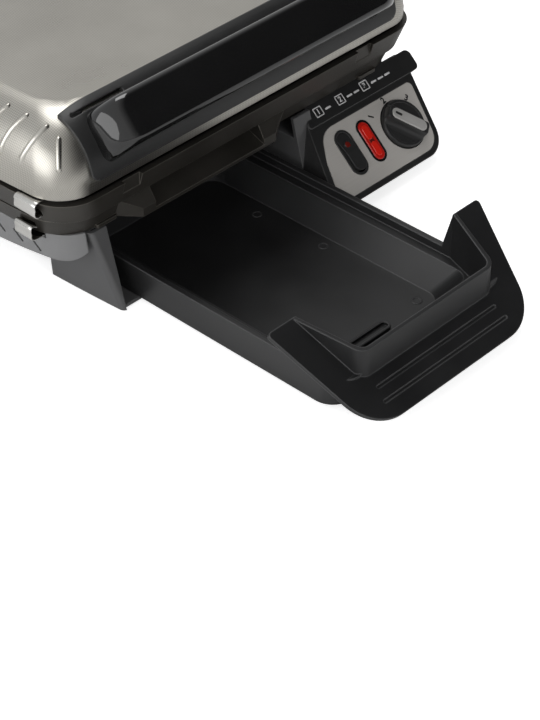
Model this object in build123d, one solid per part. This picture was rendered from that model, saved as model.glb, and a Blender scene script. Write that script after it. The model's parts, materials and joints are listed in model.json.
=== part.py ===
from build123d import *
import os
from math import cos, radians, sin, tan

# Contact grill, millimetres, +Z up, -Y the front, +X the user's right. It is modelled with the lid
# shut and the drip tray pulled out. The sizes below count Y from the front edge of the upper plate;
# each piece is then moved so that the shared origin lies on the worktop, below the middle of it all.

# Distance from the front edge of the upper plate back to the shared origin
ORIGIN_Y = 24.1

# Driving dimensions: lid
LID_HALF = 173.0
LID_BOW = 5.6
LID_FRONT = 3.5
LID_REAR = 246.0
LID_CORNER = 28.0
LID_SKIRT_Z = 99.0
LID_WALL_Z = 103.0
LID_TOP_Z = 147.0
LID_EDGE_RUN = 38.0
LID_SHEET = 0.9

# Driving dimensions: plates
PLATE_REAR = 240.0
PLATE_BOW = 5.0
PLATE_CORNER = 30.0
UPPER_HALF = 174.5
UPPER_FRONT = 0.0
UPPER_RIM_Z = 96.0
UPPER_FOOT_Z = 79.0
LOWER_HALF = 169.5
LOWER_FRONT = 9.0
LOWER_RIM_Z = 77.6
LOWER_FOOT_Z = 63.0
RIM_DRAFT = 5.0
RIB_CREST_DEPTH = 0.6
RIM_WALL = 5.0
PLATE_FLOOR = 4.5
RIB_PITCH = 12.5
RIB_WIDTH = 4.5
RIB_HEIGHT = 4.4
RIB_COUNT = 23
RIB_MARGIN = 14.0
NOTCH_X = 113.5
NOTCH_WIDTH = 15.5
NOTCH_Z = 86.5
NOTCH_DEPTH = 3.2
TAB_X = 128.5
TAB_HALF = 9.0
TAB_FRONT = 11.0
TAB_REAR = 18.0
TAB_THICK = 2.6

# Driving dimensions: spout of the lower plate
SPOUT_X = -40.0
SPOUT_HALF = 52.0
SPOUT_LIP_Y = 3.0
SPOUT_LIP_Z = 62.0
SPOUT_WALL = 2.6
SPOUT_CHEEK = 11.5
SPOUT_SWEEP = 16.0
SPOUT_LIFT = 4.0
SPOUT_INNER_Y = 30.0
SPOUT_RIB_START = 12.0

# Driving dimensions: base housing
BASE_FOOT_HALF = 132.5
BASE_TOP_HALF = 144.0
BASE_TOP_Z = 61.5
PLATE_SEAT_Z = 63.0
BASE_FRONT_TOP = 11.0
BASE_FRONT_FOOT = -5.5
BASE_REAR = 240.0
BASE_CORNER = 4.0
BASE_BOW = 5.0
BASE_WALL = 3.0
BASE_FOOT_Z = 1.0
COVER_THICK = 2.0
DECK_Z = 44.0
DECK_THICK = 2.5
DECK_FRONT = 34.0
LEG_LENGTH = 60.0
ARCH_Z = 27.0
ARCH_DEPTH = 6.0
SHELL_HALF = 162.5
SHELL_TAPER = 6.0
SHELL_FOOT_Z = 30.0
SHELL_BOW = 4.0
SHELL_CORNER = 26.0
SHELL_INNER = 146.0
SHELL_NOSE = [(11.0, 60.0), (13.0, 46.5), (20.0, 42.6)]
SHELL_EDGE = [(20.0, 42.6), (60.0, 36.0), (130.0, 30.0)]
VENT_FRONT = 46.0
VENT_PITCH = 17.0
VENT_COUNT = 9
VENT_WIDTH = 2.4
VENT_HEIGHT = 10.5
VENT_Z = 46.0
VENT_SLANT = 40.0
BOSS_R = 4.0
BOSSES = [(x, y) for x in (62, 100) for y in (34, 208)]
GLAND_X = 95.0
GLAND_Z = 30.0
GLAND_R = 7.0
GLAND_BORE_R = 3.5

# Driving dimensions: drip tray and its tunnel
TRAY_X = -40.0
TRAY_RIM_HALF = 81.0
TRAY_FOOT_HALF = 76.0
TRAY_RIM_Z = 32.0
TRAY_FOOT_Z = 3.3
TRAY_FRONT = -190.0
TRAY_FOOT_FRONT = -179.0
TRAY_REAR = 80.0
TRAY_WALL = 2.5
BASIN_FLOOR_Z = 6.5
BASIN_FLOOR_HALF = 58.0
BASIN_LEDGE_Z = 26.0
BASIN_LEDGE_HALF = 69.5
BASIN_FRONT = -155.0
BASIN_SLOPE = 14.0
BASIN_CORNER = 12.0
TUNNEL_HALF = 90.0
RUNNER_WIDTH = 18.0
RUNNER_Z = 3.0

# Driving dimensions: reclined fascia of the tray, and the collar that stands up behind it
FASCIA_RECLINE = 54.5
FASCIA_Y = -217.1
FASCIA_Z = 10.4
FASCIA_THICK = 3.0
FASCIA_LENGTH = 88.0
FASCIA_LOW_HALF = 79.0
FASCIA_TOP_HALF = 102.5
FASCIA_CORNER = 34.0
GROOVE_DEPTH = 0.8
GROOVE_WIDTH = 2.2
GROOVES = [(22.5, 58.6), (12.6, 61.0)]
COLLAR_FRONT = -191.5
COLLAR_REAR = -145.4
COLLAR_FRONT_HALF = 64.7
COLLAR_REAR_HALF = 79.5
COLLAR_CORNER = 10.0
COLLAR_WALL = 2.8
COLLAR_FRONT_Z = 49.5
COLLAR_REAR_Z = 61.4

# Driving dimensions: control panel
PANEL_RECLINE = 47.5
PANEL_Y = 14.0
PANEL_Z = 58.0
PANEL_THICK = 2.6
PANEL_LENGTH = 72.5
PANEL_LEFT = 64.0
PANEL_LEFT_SLANT = 0.28
PANEL_RIGHT = 173.0
PANEL_RIGHT_SLANT = 0.183
LEDGE_RIGHT = 179.5
LEDGE_LENGTH = 12.0
LEDGE_LEFT = 67.0
LEDGE_RISE = 4.6
LEDGE_FOOT_Z = 44.0
FACE_TOP = 17.0
FACE_BOTTOM = 68.0
FACE_THICK = 1.0
FACE_RECESS = 0.8
BLOCK_BACK = 21.0
CUP_DEPTH = 7.5
CUP_FLOOR = 1.5
DIAL_GAP = 0.5
THERMO_DEPTH = 9.0
FACE_GAP = 0.05
DIAL_X = 137.1
DIAL_V = 41.7
DIAL_HOLE_R = 19.3
DIAL_R = 18.5
DIAL_SKIRT = 4.0
DIAL_HEIGHT = 9.5
DIAL_REST_TURN = 40.0
POINTER_ANGLE = 90.0 + DIAL_REST_TURN
POINTER_LENGTH = 30.0
POINTER_WIDTH = 7.0
GRIP_WIDTH = 12.0
SHAFT_R = 3.0
RUNNING_FIT = 0.05
LENS_X = 103.5
SWITCH_X = 82.0
STADIUM_V = 40.4
LENS_LENGTH = 34.0
LENS_WIDTH = 13.5
LENS_RING = 3.4
SWITCH_LENGTH = 36.0
SWITCH_WIDTH = 16.0
SWITCH_RIM = 2.0
SWITCH_DEPTH = 11.0
ROCKER_TILT = 7.0
ROCKER_PIVOT = -3.0
ROCKER_GAP = 0.7
PIVOT_R = 1.4

# Driving dimensions: handle and its bezel
BEZEL_HALF = 147.0
BEZEL_LOW_Z = 107.0
BEZEL_BACK_Y = 32.5
BEZEL_THICK = 2.6
HANDLE_HALF = 136.5
HANDLE_BREADTH = 31.0
HANDLE_RISE = 27.0
HANDLE_THICK = 14.5
HANDLE_LEG = 22.0
HANDLE_ROUND = 6.4
HANDLE_SHOULDER = 38.0
HANDLE_TILT = 45.0
HANDLE_SUNK = 8.0
HANDLE_CORNER = 15.0

# Driving dimensions: inner frame of the lid
FRAME_STEP = 3.5
FRAME_RING = 14.0
FRAME_DECK = 2.0
FRAME_DECK_Z = 102.0
LUG_R = 7.5

# Driving dimensions: hinge
HINGE_Y = 256.0
HINGE_Z = 78.0
HINGE_R = 4.0
LUG_X = 108.0
LUG_WIDTH = 14.0
GUIDE_X = 134.0
GUIDE_WIDTH = 10.0
GUIDE_DEPTH = 8.0
GUIDE_DROP = 52.0
TOWER_WALL = 5.0
TOWER_TOP_Z = 66.0
FLOAT_SEAT = 0.3
SLIDE_FIT = 0.3
PLATE_CLEARANCE = 1.5

# Driving dimensions: heating, clips and small parts
HEATER_R = 3.4
HEATER_GAP = 0.1
HEATER_HALF = 118.0
HEATER_FRONT = 60.0
HEATER_REAR = 190.0
HEATER_LOOP = 30.0
HEATER_TAIL = 34.0
HEATER_POSTS = [(x, y) for x in (-HEATER_HALF, HEATER_HALF) for y in (90.0, 160.0)]
SHEET = 0.8
REFLECTOR_HALF = 134.0
REFLECTOR_REAR = 226.0
UPPER_CLIP_FRONT = 22.0
UPPER_CLIP_WIDTH = 20.0
LOWER_CLIP_FRONT = 34.0
LOWER_CLIP_WIDTH = 16.0
CLIP_SHEET = 1.0
CLIP_GAP = 0.6
CLIP_NOSE = 4.6
CLIP_PIN_R = 1.0
CLIP_PIN_SPARE = 2.5
UPPER_PIVOT_X = 165.5
UPPER_PIVOT_Z = 97.1
LOWER_PIVOT_X = 159.0
LOWER_PIVOT_Z = 60.4
FOOT_R = 9.0
FOOT_HEIGHT = 2.0
FEET = [(side * 121, y) for side in (-1, 1) for y in (20, 216)]
SCREW_R = 1.6
SCREW_HEAD_R = 3.4

# Values that follow from the ones above
SIDES = (-1, 1)
TUNNEL_LEFT = TRAY_X - TUNNEL_HALF
TUNNEL_RIGHT = TRAY_X + TUNNEL_HALF
COVER_Z = BASE_FOOT_Z + COVER_THICK
CHANNEL_X = GUIDE_WIDTH / 2 + SLIDE_FIT
CHANNEL_Y = GUIDE_DEPTH / 2 + SLIDE_FIT
UPPER_FACE_Z = UPPER_FOOT_Z + RIB_CREST_DEPTH + RIB_HEIGHT
LOWER_FACE_Z = LOWER_RIM_Z - RIB_CREST_DEPTH - RIB_HEIGHT


def save(name, shape):
    """Write one named sub-part, in the shared frame."""
    shape = Pos(0, -ORIGIN_Y, 0) * shape
    shape.label = name
    export_step(shape, f"parts/{name}.step")
    return shape


def footprint(half, front, rear, bow, corner, z):
    """Plan outline with bowed sides and rounded corners, at height z."""
    middle = (front + rear) / 2
    edges = [
        Line((-half, front), (half, front)),
        ThreePointArc((half, front), (half + bow, middle), (half, rear)),
        Line((half, rear), (-half, rear)),
        ThreePointArc((-half, rear), (-half - bow, middle), (-half, front)),
    ]
    face = make_face(edges)
    return Pos(0, 0, z) * fillet(face.vertices(), corner)


def box(x0, x1, y0, y1, z0, z1):
    """Block between two corners."""
    return Pos((x0 + x1) / 2, (y0 + y1) / 2, (z0 + z1) / 2) * Box(x1 - x0, y1 - y0, z1 - z0)


def across(points, x0, x1):
    """Profile in the YZ plane, pushed along X from x0 to x1."""
    face = Plane.YZ * make_face(Polyline(*points, close=True))
    return Pos(x0, 0, 0) * extrude(face, x1 - x0, dir=(1, 0, 0))


def dome(inset):
    """Pressed lid body: upright skirt, then a large elliptical edge up to the top."""
    rise = LID_TOP_Z - LID_WALL_Z - inset
    run = LID_EDGE_RUN - inset
    sections = []
    for angle in (0, 16, 32, 47, 60, 72, 82):
        pull = inset + run * (1 - cos(radians(angle)))
        height = LID_WALL_Z + rise * sin(radians(angle))
        corner = LID_CORNER - inset - 7 * (1 - cos(radians(angle)))
        sections.append(
            footprint(LID_HALF - pull, LID_FRONT + pull, LID_REAR - pull, LID_BOW, corner, height)
        )
    skirt = footprint(
        LID_HALF - inset, LID_FRONT + inset, LID_REAR - inset, LID_BOW, LID_CORNER - inset, LID_SKIRT_Z
    )
    return loft(sections) + extrude(skirt, LID_WALL_Z - LID_SKIRT_Z)


def rim_body(half, front, z_wide, z_narrow):
    """Drafted body of a plate, widest at z_wide."""
    wide = footprint(half, front, PLATE_REAR, PLATE_BOW, PLATE_CORNER, z_wide)
    narrow = footprint(
        half - RIM_DRAFT, front + RIM_DRAFT, PLATE_REAR, PLATE_BOW, PLATE_CORNER, z_narrow
    )
    sections = [wide, narrow] if z_narrow > z_wide else [narrow, wide]
    return loft(sections, ruled=True)


def pocket(half, front, inset, z0, z1):
    """Straight pocket inside a plate rim."""
    face = footprint(
        half - inset, front + inset, PLATE_REAR - inset, PLATE_BOW, PLATE_CORNER - inset / 2, z0
    )
    return extrude(face, z1 - z0)


def ribs(z0, z1, front, rear, skip=None):
    """Grill ribs that run front to back."""
    bars = []
    for index in range(RIB_COUNT):
        x = (index - (RIB_COUNT - 1) / 2) * RIB_PITCH
        start = skip(x) if skip else front
        bars.append(box(x - RIB_WIDTH / 2, x + RIB_WIDTH / 2, start, rear, z0, z1))
    return bars


# Panel and fascia planes. Local x is +X, local y climbs the slope, local z points out at the user.
def reclined(x, y, z, recline):
    tilt = radians(recline)
    return Plane(origin=(x, y, z), x_dir=(1, 0, 0), z_dir=(0, -cos(tilt), sin(tilt)))


panel_plane = reclined(0, PANEL_Y, PANEL_Z, PANEL_RECLINE)
fascia_plane = reclined(TRAY_X, FASCIA_Y, FASCIA_Z, FASCIA_RECLINE)


def on_panel(shape, x, down, out=0.0):
    """Put a shape on the panel at x, a distance down the slope, and a height off its face."""
    return panel_plane * Pos(x, -down, out) * shape


def stadium(length, width, depth):
    """Upright slot shape, pushed in by depth from local z = 0."""
    return extrude(Rot(0, 0, 90) * SlotOverall(length, width), -depth)


def make_upper_plate():
    """Upper grill plate: a deep rim that shows below the lid, ribs below, two notches at the front."""
    body = rim_body(UPPER_HALF, UPPER_FRONT, UPPER_RIM_Z, UPPER_FOOT_Z)
    below = UPPER_FOOT_Z - 1
    above = UPPER_RIM_Z + 1
    body -= pocket(UPPER_HALF - RIM_DRAFT, UPPER_FRONT + RIM_DRAFT, RIM_WALL, below, UPPER_FACE_Z)
    body -= pocket(UPPER_HALF, UPPER_FRONT, RIM_WALL, UPPER_FACE_Z + PLATE_FLOOR, above)
    front = UPPER_FRONT + RIM_DRAFT + RIB_MARGIN
    for bar in ribs(UPPER_FACE_Z - RIB_HEIGHT, UPPER_FACE_Z + 0.5, front, PLATE_REAR - RIB_MARGIN):
        body += bar
    for side in SIDES:
        x = side * NOTCH_X
        reach = NOTCH_WIDTH / 2
        body -= box(x - reach, x + reach, UPPER_FRONT - 1, UPPER_FRONT + NOTCH_DEPTH, NOTCH_Z, above)
    return clip_slots(body, UPPER_HALF, UPPER_CLIP_FRONT, UPPER_CLIP_WIDTH, 84.0, 90.0)


def clip_slots(body, half, front, width, z0, z1):
    """Slots in the rim's sides where the spring clips catch."""
    for side in SIDES:
        wall = side * (half + 2)
        near, far = sorted((wall, wall - side * 9))
        body -= box(near, far, front + 2, front + width - 2, z0, z1)
    return body


def spout_profile(top):
    """Side view of the chute or of a cheek beside it, closed below from the lip to the plate's floor."""
    inner = SPOUT_INNER_Y + 0.5
    return top + [(SPOUT_LIP_Y, SPOUT_LIP_Z - SPOUT_WALL), (inner, LOWER_FACE_Z - PLATE_FLOOR)]


def spout_cheek(side):
    """Wide sloping cheek at one end of the spout, which runs out into the rim beyond it."""
    inner = SPOUT_INNER_Y + 0.5
    near = SPOUT_X + side * SPOUT_HALF
    far = near + side * SPOUT_CHEEK
    slope = [(inner, LOWER_RIM_Z), (LOWER_FRONT + 1, LOWER_RIM_Z), (SPOUT_LIP_Y, SPOUT_LIP_Z + SPOUT_LIFT)]
    full = spout_profile(slope)
    faded = slope[:2] + [
        (LOWER_FRONT + 0.6, LOWER_RIM_Z - 1), (LOWER_FRONT + RIM_DRAFT, LOWER_FOOT_Z), full[-1]
    ]
    sections = [
        Pos(x, 0, 0) * (Plane.YZ * make_face(Polyline(*outline, close=True)))
        for x, outline in ((far, full), (far + side * SPOUT_SWEEP, faded))
    ]
    return across(full, *sorted((near, far))) + loft(sections, ruled=True)


def make_lower_plate():
    """Lower grill plate: ribs above, a draining spout at the front, two catch tabs and clip slots."""
    body = rim_body(LOWER_HALF, LOWER_FRONT, LOWER_RIM_Z, LOWER_FOOT_Z)
    under = LOWER_FACE_Z - PLATE_FLOOR
    narrow = LOWER_HALF - RIM_DRAFT
    body -= pocket(LOWER_HALF - 1, LOWER_FRONT + 1, RIM_WALL, LOWER_FACE_Z, LOWER_RIM_Z + 1)
    body -= pocket(narrow, LOWER_FRONT + RIM_DRAFT, RIM_WALL, LOWER_FOOT_Z - 1, under)
    spout_left = SPOUT_X - SPOUT_HALF
    spout_right = SPOUT_X + SPOUT_HALF

    def rib_start(x):
        return LOWER_FRONT + RIB_MARGIN + (SPOUT_RIB_START if spout_left < x < spout_right else 0)

    for bar in ribs(LOWER_FACE_Z - 0.5, LOWER_FACE_Z + RIB_HEIGHT, 0, PLATE_REAR - RIB_MARGIN, rib_start):
        body += bar
    body -= box(spout_left, spout_right, -20, SPOUT_INNER_Y, LOWER_FOOT_Z - 5, LOWER_RIM_Z + 5)
    chute = spout_profile([(SPOUT_INNER_Y + 0.5, LOWER_FACE_Z), (SPOUT_LIP_Y, SPOUT_LIP_Z)])
    body += across(chute, spout_left - 0.5, spout_right + 0.5)
    for side in SIDES:
        body += spout_cheek(side)
        tab = footprint(TAB_HALF, TAB_FRONT, TAB_REAR, 0.2, 1.5, LOWER_FOOT_Z)
        body += Pos(side * TAB_X, 0, 0) * extrude(tab, TAB_THICK)
    return clip_slots(body, LOWER_HALF, LOWER_CLIP_FRONT, LOWER_CLIP_WIDTH, 67.5, 72.5)


def make_lid_frame():
    """Inner frame: a stepped ring in the skirt, a deck above the plate and two rear lugs."""
    seat = footprint(
        LID_HALF - LID_SHEET, LID_FRONT + LID_SHEET, LID_REAR - LID_SHEET, LID_BOW,
        LID_CORNER - LID_SHEET, LID_SKIRT_Z,
    )
    ring = footprint(
        LID_HALF - FRAME_STEP, LID_FRONT + FRAME_STEP, LID_REAR - FRAME_STEP, LID_BOW,
        LID_CORNER - FRAME_STEP, UPPER_RIM_Z,
    )
    frame = extrude(seat, FRAME_DECK_Z - LID_SKIRT_Z) + extrude(ring, FRAME_DECK_Z - UPPER_RIM_Z)
    hole = footprint(
        LID_HALF - FRAME_RING, LID_FRONT + FRAME_RING, LID_REAR - FRAME_RING, LID_BOW,
        LID_CORNER - FRAME_RING / 2, UPPER_RIM_Z - 1,
    )
    frame -= extrude(hole, FRAME_DECK_Z - FRAME_DECK - UPPER_RIM_Z + 1)
    profile = [
        (LID_REAR - FRAME_RING, FRAME_DECK_Z),
        (LID_REAR - FRAME_RING, UPPER_RIM_Z),
        (PLATE_REAR + 1.2, UPPER_RIM_Z),
        (HINGE_Y - LUG_R, HINGE_Z),
        (HINGE_Y - LUG_R * 0.7, HINGE_Z - LUG_R * 0.7),
        (HINGE_Y, HINGE_Z - LUG_R),
        (HINGE_Y + LUG_R * 0.7, HINGE_Z - LUG_R * 0.7),
        (HINGE_Y + LUG_R, HINGE_Z),
        (HINGE_Y + LUG_R * 0.7, HINGE_Z + LUG_R * 0.7),
        (LID_REAR - 1.5, LID_SKIRT_Z - 0.3),
        (LID_REAR - 1.5, FRAME_DECK_Z),
    ]
    for side in SIDES:
        x = side * LUG_X
        frame += across(profile, x - LUG_WIDTH / 2, x + LUG_WIDTH / 2)
        frame -= Pos(x, HINGE_Y, HINGE_Z) * Rot(0, 90, 0) * Cylinder(HINGE_R + RUNNING_FIT, LUG_WIDTH + 2)
        frame -= clip_housing(
            side, UPPER_PIVOT_X, UPPER_PIVOT_Z, UPPER_CLIP_FRONT, UPPER_CLIP_WIDTH, UPPER_RIM_Z - 1, 99.2
        )
    return frame


def make_bezel():
    """Matt surround that wraps the lid's front edge, with rounded lower corners."""
    skin = dome(-BEZEL_THICK)
    front = Plane.XZ * make_face(
        Polyline(
            (-BEZEL_HALF, BEZEL_LOW_Z), (BEZEL_HALF, BEZEL_LOW_Z),
            (BEZEL_HALF, LID_TOP_Z + 9), (-BEZEL_HALF, LID_TOP_Z + 9), close=True,
        )
    )
    low = front.vertices().sort_by(Axis.Z)[:2]
    front = fillet(low, 7)
    region = Pos(0, BEZEL_BACK_Y, 0) * extrude(front, BEZEL_BACK_Y + 20, dir=(0, -1, 0))
    return (skin & region) - dome(0)


def handle_rest():
    """Plane on the lid's front shoulder where the handle stands."""
    turn = radians(HANDLE_SHOULDER)
    y = LID_FRONT + LID_EDGE_RUN * (1 - cos(turn))
    z = LID_WALL_Z + (LID_TOP_Z - LID_WALL_Z) * sin(turn)
    tilt = radians(HANDLE_TILT)
    return Plane(origin=(0, y, z), x_dir=(1, 0, 0), z_dir=(0, -sin(tilt), cos(tilt)))


def make_handle():
    """Fat gloss bridge: two legs that rise from the bezel and a bar with a finger gap behind it."""
    rest = handle_rest()
    under = HANDLE_RISE - HANDLE_THICK
    low = -HANDLE_SUNK
    inner = HANDLE_HALF - HANDLE_LEG
    arch = make_face(
        Polyline(
            (-HANDLE_HALF, low), (-HANDLE_HALF, HANDLE_RISE), (HANDLE_HALF, HANDLE_RISE),
            (HANDLE_HALF, low), (inner, low), (inner, under), (-inner, under), (-inner, low), close=True,
        )
    )
    outer_corners = [v for v in arch.vertices() if v.Y > HANDLE_RISE - 1]
    arch = fillet(outer_corners, HANDLE_CORNER)
    inner_corners = [v for v in arch.vertices() if abs(v.Y - under) < 0.1 and abs(abs(v.X) - inner) < 0.1]
    arch = fillet(inner_corners, 5)
    side_view = Plane(
        origin=rest.origin + rest.y_dir * (HANDLE_BREADTH / 2), x_dir=rest.x_dir, z_dir=-rest.y_dir
    )
    bar = extrude(side_view * arch, HANDLE_BREADTH)
    long_edges = [e for e in bar.edges() if rim_edge(e, rest, low)]
    return fillet(long_edges, HANDLE_ROUND) - dome(-BEZEL_THICK)


def rim_edge(edge, rest, low):
    """True for the handle's edges that run along its arch, not for those on its feet."""
    local = rest.to_local_coords(edge.center())
    span = [abs(rest.to_local_coords(point).Y) for point in (edge @ 0, edge @ 1)]
    return min(span) > HANDLE_BREADTH / 2 - 0.1 and local.Z > low + 0.5


def clip_housing(side, pivot_x, pivot_z, front, width, z0, z1):
    """Room for a clip's tongue and the round seat of its pivot."""
    near, far = sorted((side * pivot_x, side * (pivot_x + 30)))
    room = box(near, far, front - 0.4, front + width + 0.4, z0, z1)
    seat = Pos(side * pivot_x, front + width / 2, pivot_z) * Rot(90, 0, 0)
    return room + seat * Cylinder(CLIP_PIN_R + RUNNING_FIT, width + 2 * CLIP_PIN_SPARE + 0.6)


def rim_half(half, y):
    """Half width of a bowed plate rim at a given depth."""
    middle = (UPPER_FRONT + PLATE_REAR) / 2
    return half + PLATE_BOW * (1 - ((y - middle) / middle) ** 2)


def make_clip(side, half, front, width, pivot_x, pivot_z, end_z, nose_z):
    """Bent spring strip: pivot pin, tongue, upright leg and a nose that catches in the rim."""
    rear = front + width
    leg_x = rim_half(half, rear) + CLIP_GAP
    reach = 1 if end_z > pivot_z else -1
    leg_z = sorted((pivot_z - reach * CLIP_SHEET / 2, end_z))
    root, leg_in, leg_out, nose = (side * v for v in (pivot_x, leg_x, leg_x + CLIP_SHEET, leg_x - CLIP_NOSE))
    strip = box(*sorted((root, leg_out)), front, rear, pivot_z - CLIP_SHEET / 2, pivot_z + CLIP_SHEET / 2)
    strip += box(*sorted((leg_in, leg_out)), front, rear, *leg_z)
    nose_low, nose_high = nose_z - CLIP_SHEET / 2, nose_z + CLIP_SHEET / 2
    strip += box(*sorted((nose, leg_out)), front + 3, rear - 3, nose_low, nose_high)
    pin = Pos(root, (front + rear) / 2, pivot_z) * Rot(90, 0, 0)
    return strip + pin * Cylinder(CLIP_PIN_R, width + 2 * CLIP_PIN_SPARE)


def make_upper_clip(side):
    return make_clip(
        side, UPPER_HALF, UPPER_CLIP_FRONT, UPPER_CLIP_WIDTH, UPPER_PIVOT_X, UPPER_PIVOT_Z, 85.0, 86.5
    )


def make_lower_clip(side):
    return make_clip(
        side, LOWER_HALF, LOWER_CLIP_FRONT, LOWER_CLIP_WIDTH, LOWER_PIVOT_X, LOWER_PIVOT_Z, 73.0, 69.5
    )


def hull_section(z, inset=0.0):
    """Plan outline of the base housing at height z."""
    share = z / BASE_TOP_Z
    half = BASE_FOOT_HALF + (BASE_TOP_HALF - BASE_FOOT_HALF) * share
    front = BASE_FRONT_FOOT + (BASE_FRONT_TOP - BASE_FRONT_FOOT) * share
    return footprint(half - inset, front + inset, BASE_REAR - inset, BASE_BOW, BASE_CORNER - inset, z)


def hull(z0, z1, inset=0.0):
    """Tapered solid of the base between two heights."""
    return loft([hull_section(z0, inset), hull_section(z1, inset)], ruled=True)


def make_base_housing():
    """Tapered tub on legs, with the tray tunnel, its runners, a deck and two hinge towers."""
    tub = hull(BASE_FOOT_Z, BASE_TOP_Z) - hull(-5, BASE_TOP_Z + 5, BASE_WALL)
    arch = [
        (LEG_LENGTH + 2, -5), (LEG_LENGTH - 2, ARCH_Z - 4), (LEG_LENGTH + 4, ARCH_Z),
        (BASE_REAR - LEG_LENGTH - 4, ARCH_Z), (BASE_REAR - LEG_LENGTH + 2, ARCH_Z - 4),
        (BASE_REAR - LEG_LENGTH - 2, -5),
    ]
    tub -= across(arch, BASE_FOOT_HALF - ARCH_DEPTH, BASE_TOP_HALF + 20)
    tub -= box(TUNNEL_LEFT, TUNNEL_RIGHT, -20, 30, -1, BASE_TOP_Z + 1)
    inner = hull(BASE_FOOT_Z, BASE_TOP_Z, BASE_WALL - 0.5)
    deck = inner & box(-200, 200, -20, 300, DECK_Z, DECK_Z + DECK_THICK)
    deck -= box(TUNNEL_LEFT, TUNNEL_RIGHT, -20, DECK_FRONT, DECK_Z - 1, DECK_Z + DECK_THICK + 1)
    tub += deck
    walls = box(TUNNEL_RIGHT, TUNNEL_RIGHT + BASE_WALL, -20, 260, BASE_FOOT_Z, DECK_Z + 1)
    walls += box(TUNNEL_LEFT - 20, TUNNEL_LEFT + RUNNER_WIDTH, -20, 260, BASE_FOOT_Z, RUNNER_Z)
    walls += box(TUNNEL_RIGHT - RUNNER_WIDTH, TUNNEL_RIGHT, -20, 260, BASE_FOOT_Z, RUNNER_Z)
    bay_wall = BASE_FOOT_HALF - ARCH_DEPTH
    bay_front, bay_rear = LEG_LENGTH - 6, BASE_REAR - LEG_LENGTH + 6
    walls += box(bay_wall - BASE_WALL, bay_wall, bay_front, bay_rear, COVER_Z, DECK_Z + 1)
    tub += walls & inner
    tub -= across(arch, -BASE_TOP_HALF - 20, TUNNEL_LEFT + RUNNER_WIDTH + 1)
    for x, y in BOSSES:
        tub += Pos(x, y, (DECK_Z + 1 + COVER_Z) / 2) * Cylinder(BOSS_R, DECK_Z + 1 - COVER_Z)
        tub -= Pos(x, y, COVER_Z + 8) * Cylinder(SCREW_R, 20)
    window = [hull_section(z, -1) for z in (14, 44)]
    tub -= loft(window, ruled=True) & box(72, 150, -20, 30, 14, 42)
    tub -= ledge_room()
    for side in SIDES:
        tub += tower(side)
    for side in SIDES:
        tub -= channel(side)
    tub -= Pos(GLAND_X, BASE_REAR, GLAND_Z) * Rot(90, 0, 0) * Cylinder(GLAND_R - 2, 30)
    tub -= foot_pads(TUNNEL_LEFT)
    return tub


def ledge_room():
    """Notch in the tub's right front that the ledge of the control block fills."""
    return box(LEDGE_LEFT, PANEL_RIGHT, -20, BLOCK_BACK + 0.5, LEDGE_FOOT_Z, PLATE_SEAT_Z)


def tower(side):
    """Block behind the tub that holds one float guide."""
    x = side * GUIDE_X
    width = CHANNEL_X + TOWER_WALL
    low = HINGE_Z - GUIDE_DROP - FLOAT_SEAT - TOWER_WALL
    rear = HINGE_Y + CHANNEL_Y + TOWER_WALL
    lower = box(x - width, x + width, BASE_REAR - 2, rear, low, BASE_TOP_Z)
    return lower + box(x - width, x + width, PLATE_REAR + PLATE_CLEARANCE, rear, low, TOWER_TOP_Z)


def channel(side):
    """Open-topped channel for one float guide."""
    x = side * GUIDE_X
    low = HINGE_Z - GUIDE_DROP - FLOAT_SEAT
    return box(x - CHANNEL_X, x + CHANNEL_X, HINGE_Y - CHANNEL_Y, HINGE_Y + CHANNEL_Y, low, HINGE_Z)


def make_float_guide(side):
    """Flat upright that slides in the tower and carries the shaft in its round head."""
    x = side * GUIDE_X
    stem = box(
        x - GUIDE_WIDTH / 2, x + GUIDE_WIDTH / 2, HINGE_Y - GUIDE_DEPTH / 2, HINGE_Y + GUIDE_DEPTH / 2,
        HINGE_Z - GUIDE_DROP, HINGE_Z,
    )
    head = Pos(x, HINGE_Y, HINGE_Z) * Rot(0, 90, 0) * Cylinder(LUG_R, GUIDE_WIDTH)
    bore = Pos(x, HINGE_Y, HINGE_Z) * Rot(0, 90, 0) * Cylinder(HINGE_R, GUIDE_WIDTH + 2)
    return stem + head - bore


def make_hinge_shaft():
    """Steel rod through both guides and both lid lugs."""
    length = 2 * (GUIDE_X + GUIDE_WIDTH / 2 + 4)
    return Pos(0, HINGE_Y, HINGE_Z) * Rot(0, 90, 0) * Cylinder(HINGE_R, length)


def make_shaft_clips():
    """Push-on washers that keep the rod in the guides."""
    rings = []
    for side in SIDES:
        x = side * (GUIDE_X + GUIDE_WIDTH / 2 + 0.8)
        place = Pos(x, HINGE_Y, HINGE_Z) * Rot(0, 90, 0)
        rings.append(place * (Cylinder(HINGE_R + 2.5, 1.2) - Cylinder(HINGE_R, 2)))
    return Compound(rings)


def make_base_cover():
    """Plate that closes the wiring bay from below."""
    sheet = hull(BASE_FOOT_Z, COVER_Z, BASE_WALL) & box(TUNNEL_RIGHT + BASE_WALL, 300, 0, 300, 0, COVER_Z)
    for x, y in BOSSES:
        sheet -= Pos(x, y, COVER_Z - COVER_THICK / 2) * Cylinder(SCREW_HEAD_R, 2 * COVER_THICK)
    return sheet - foot_pads(TUNNEL_RIGHT)


def make_base_screws():
    """Four pan-head screws up into the bosses."""
    screws = []
    for x, y in BOSSES:
        head = Pos(x, y, COVER_Z - COVER_THICK / 2) * Cylinder(SCREW_HEAD_R, COVER_THICK)
        screws.append(head + Pos(x, y, COVER_Z + 7) * Cylinder(SCREW_R, 14))
    return Compound(screws)


def foot_pads(edge):
    """Pockets for the two rubber feet on one side."""
    pads = [Pos(x, y, FOOT_HEIGHT / 2) * Cylinder(FOOT_R, FOOT_HEIGHT) for x, y in FEET if x * edge > 0]
    return pads[0] + pads[1]


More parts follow.
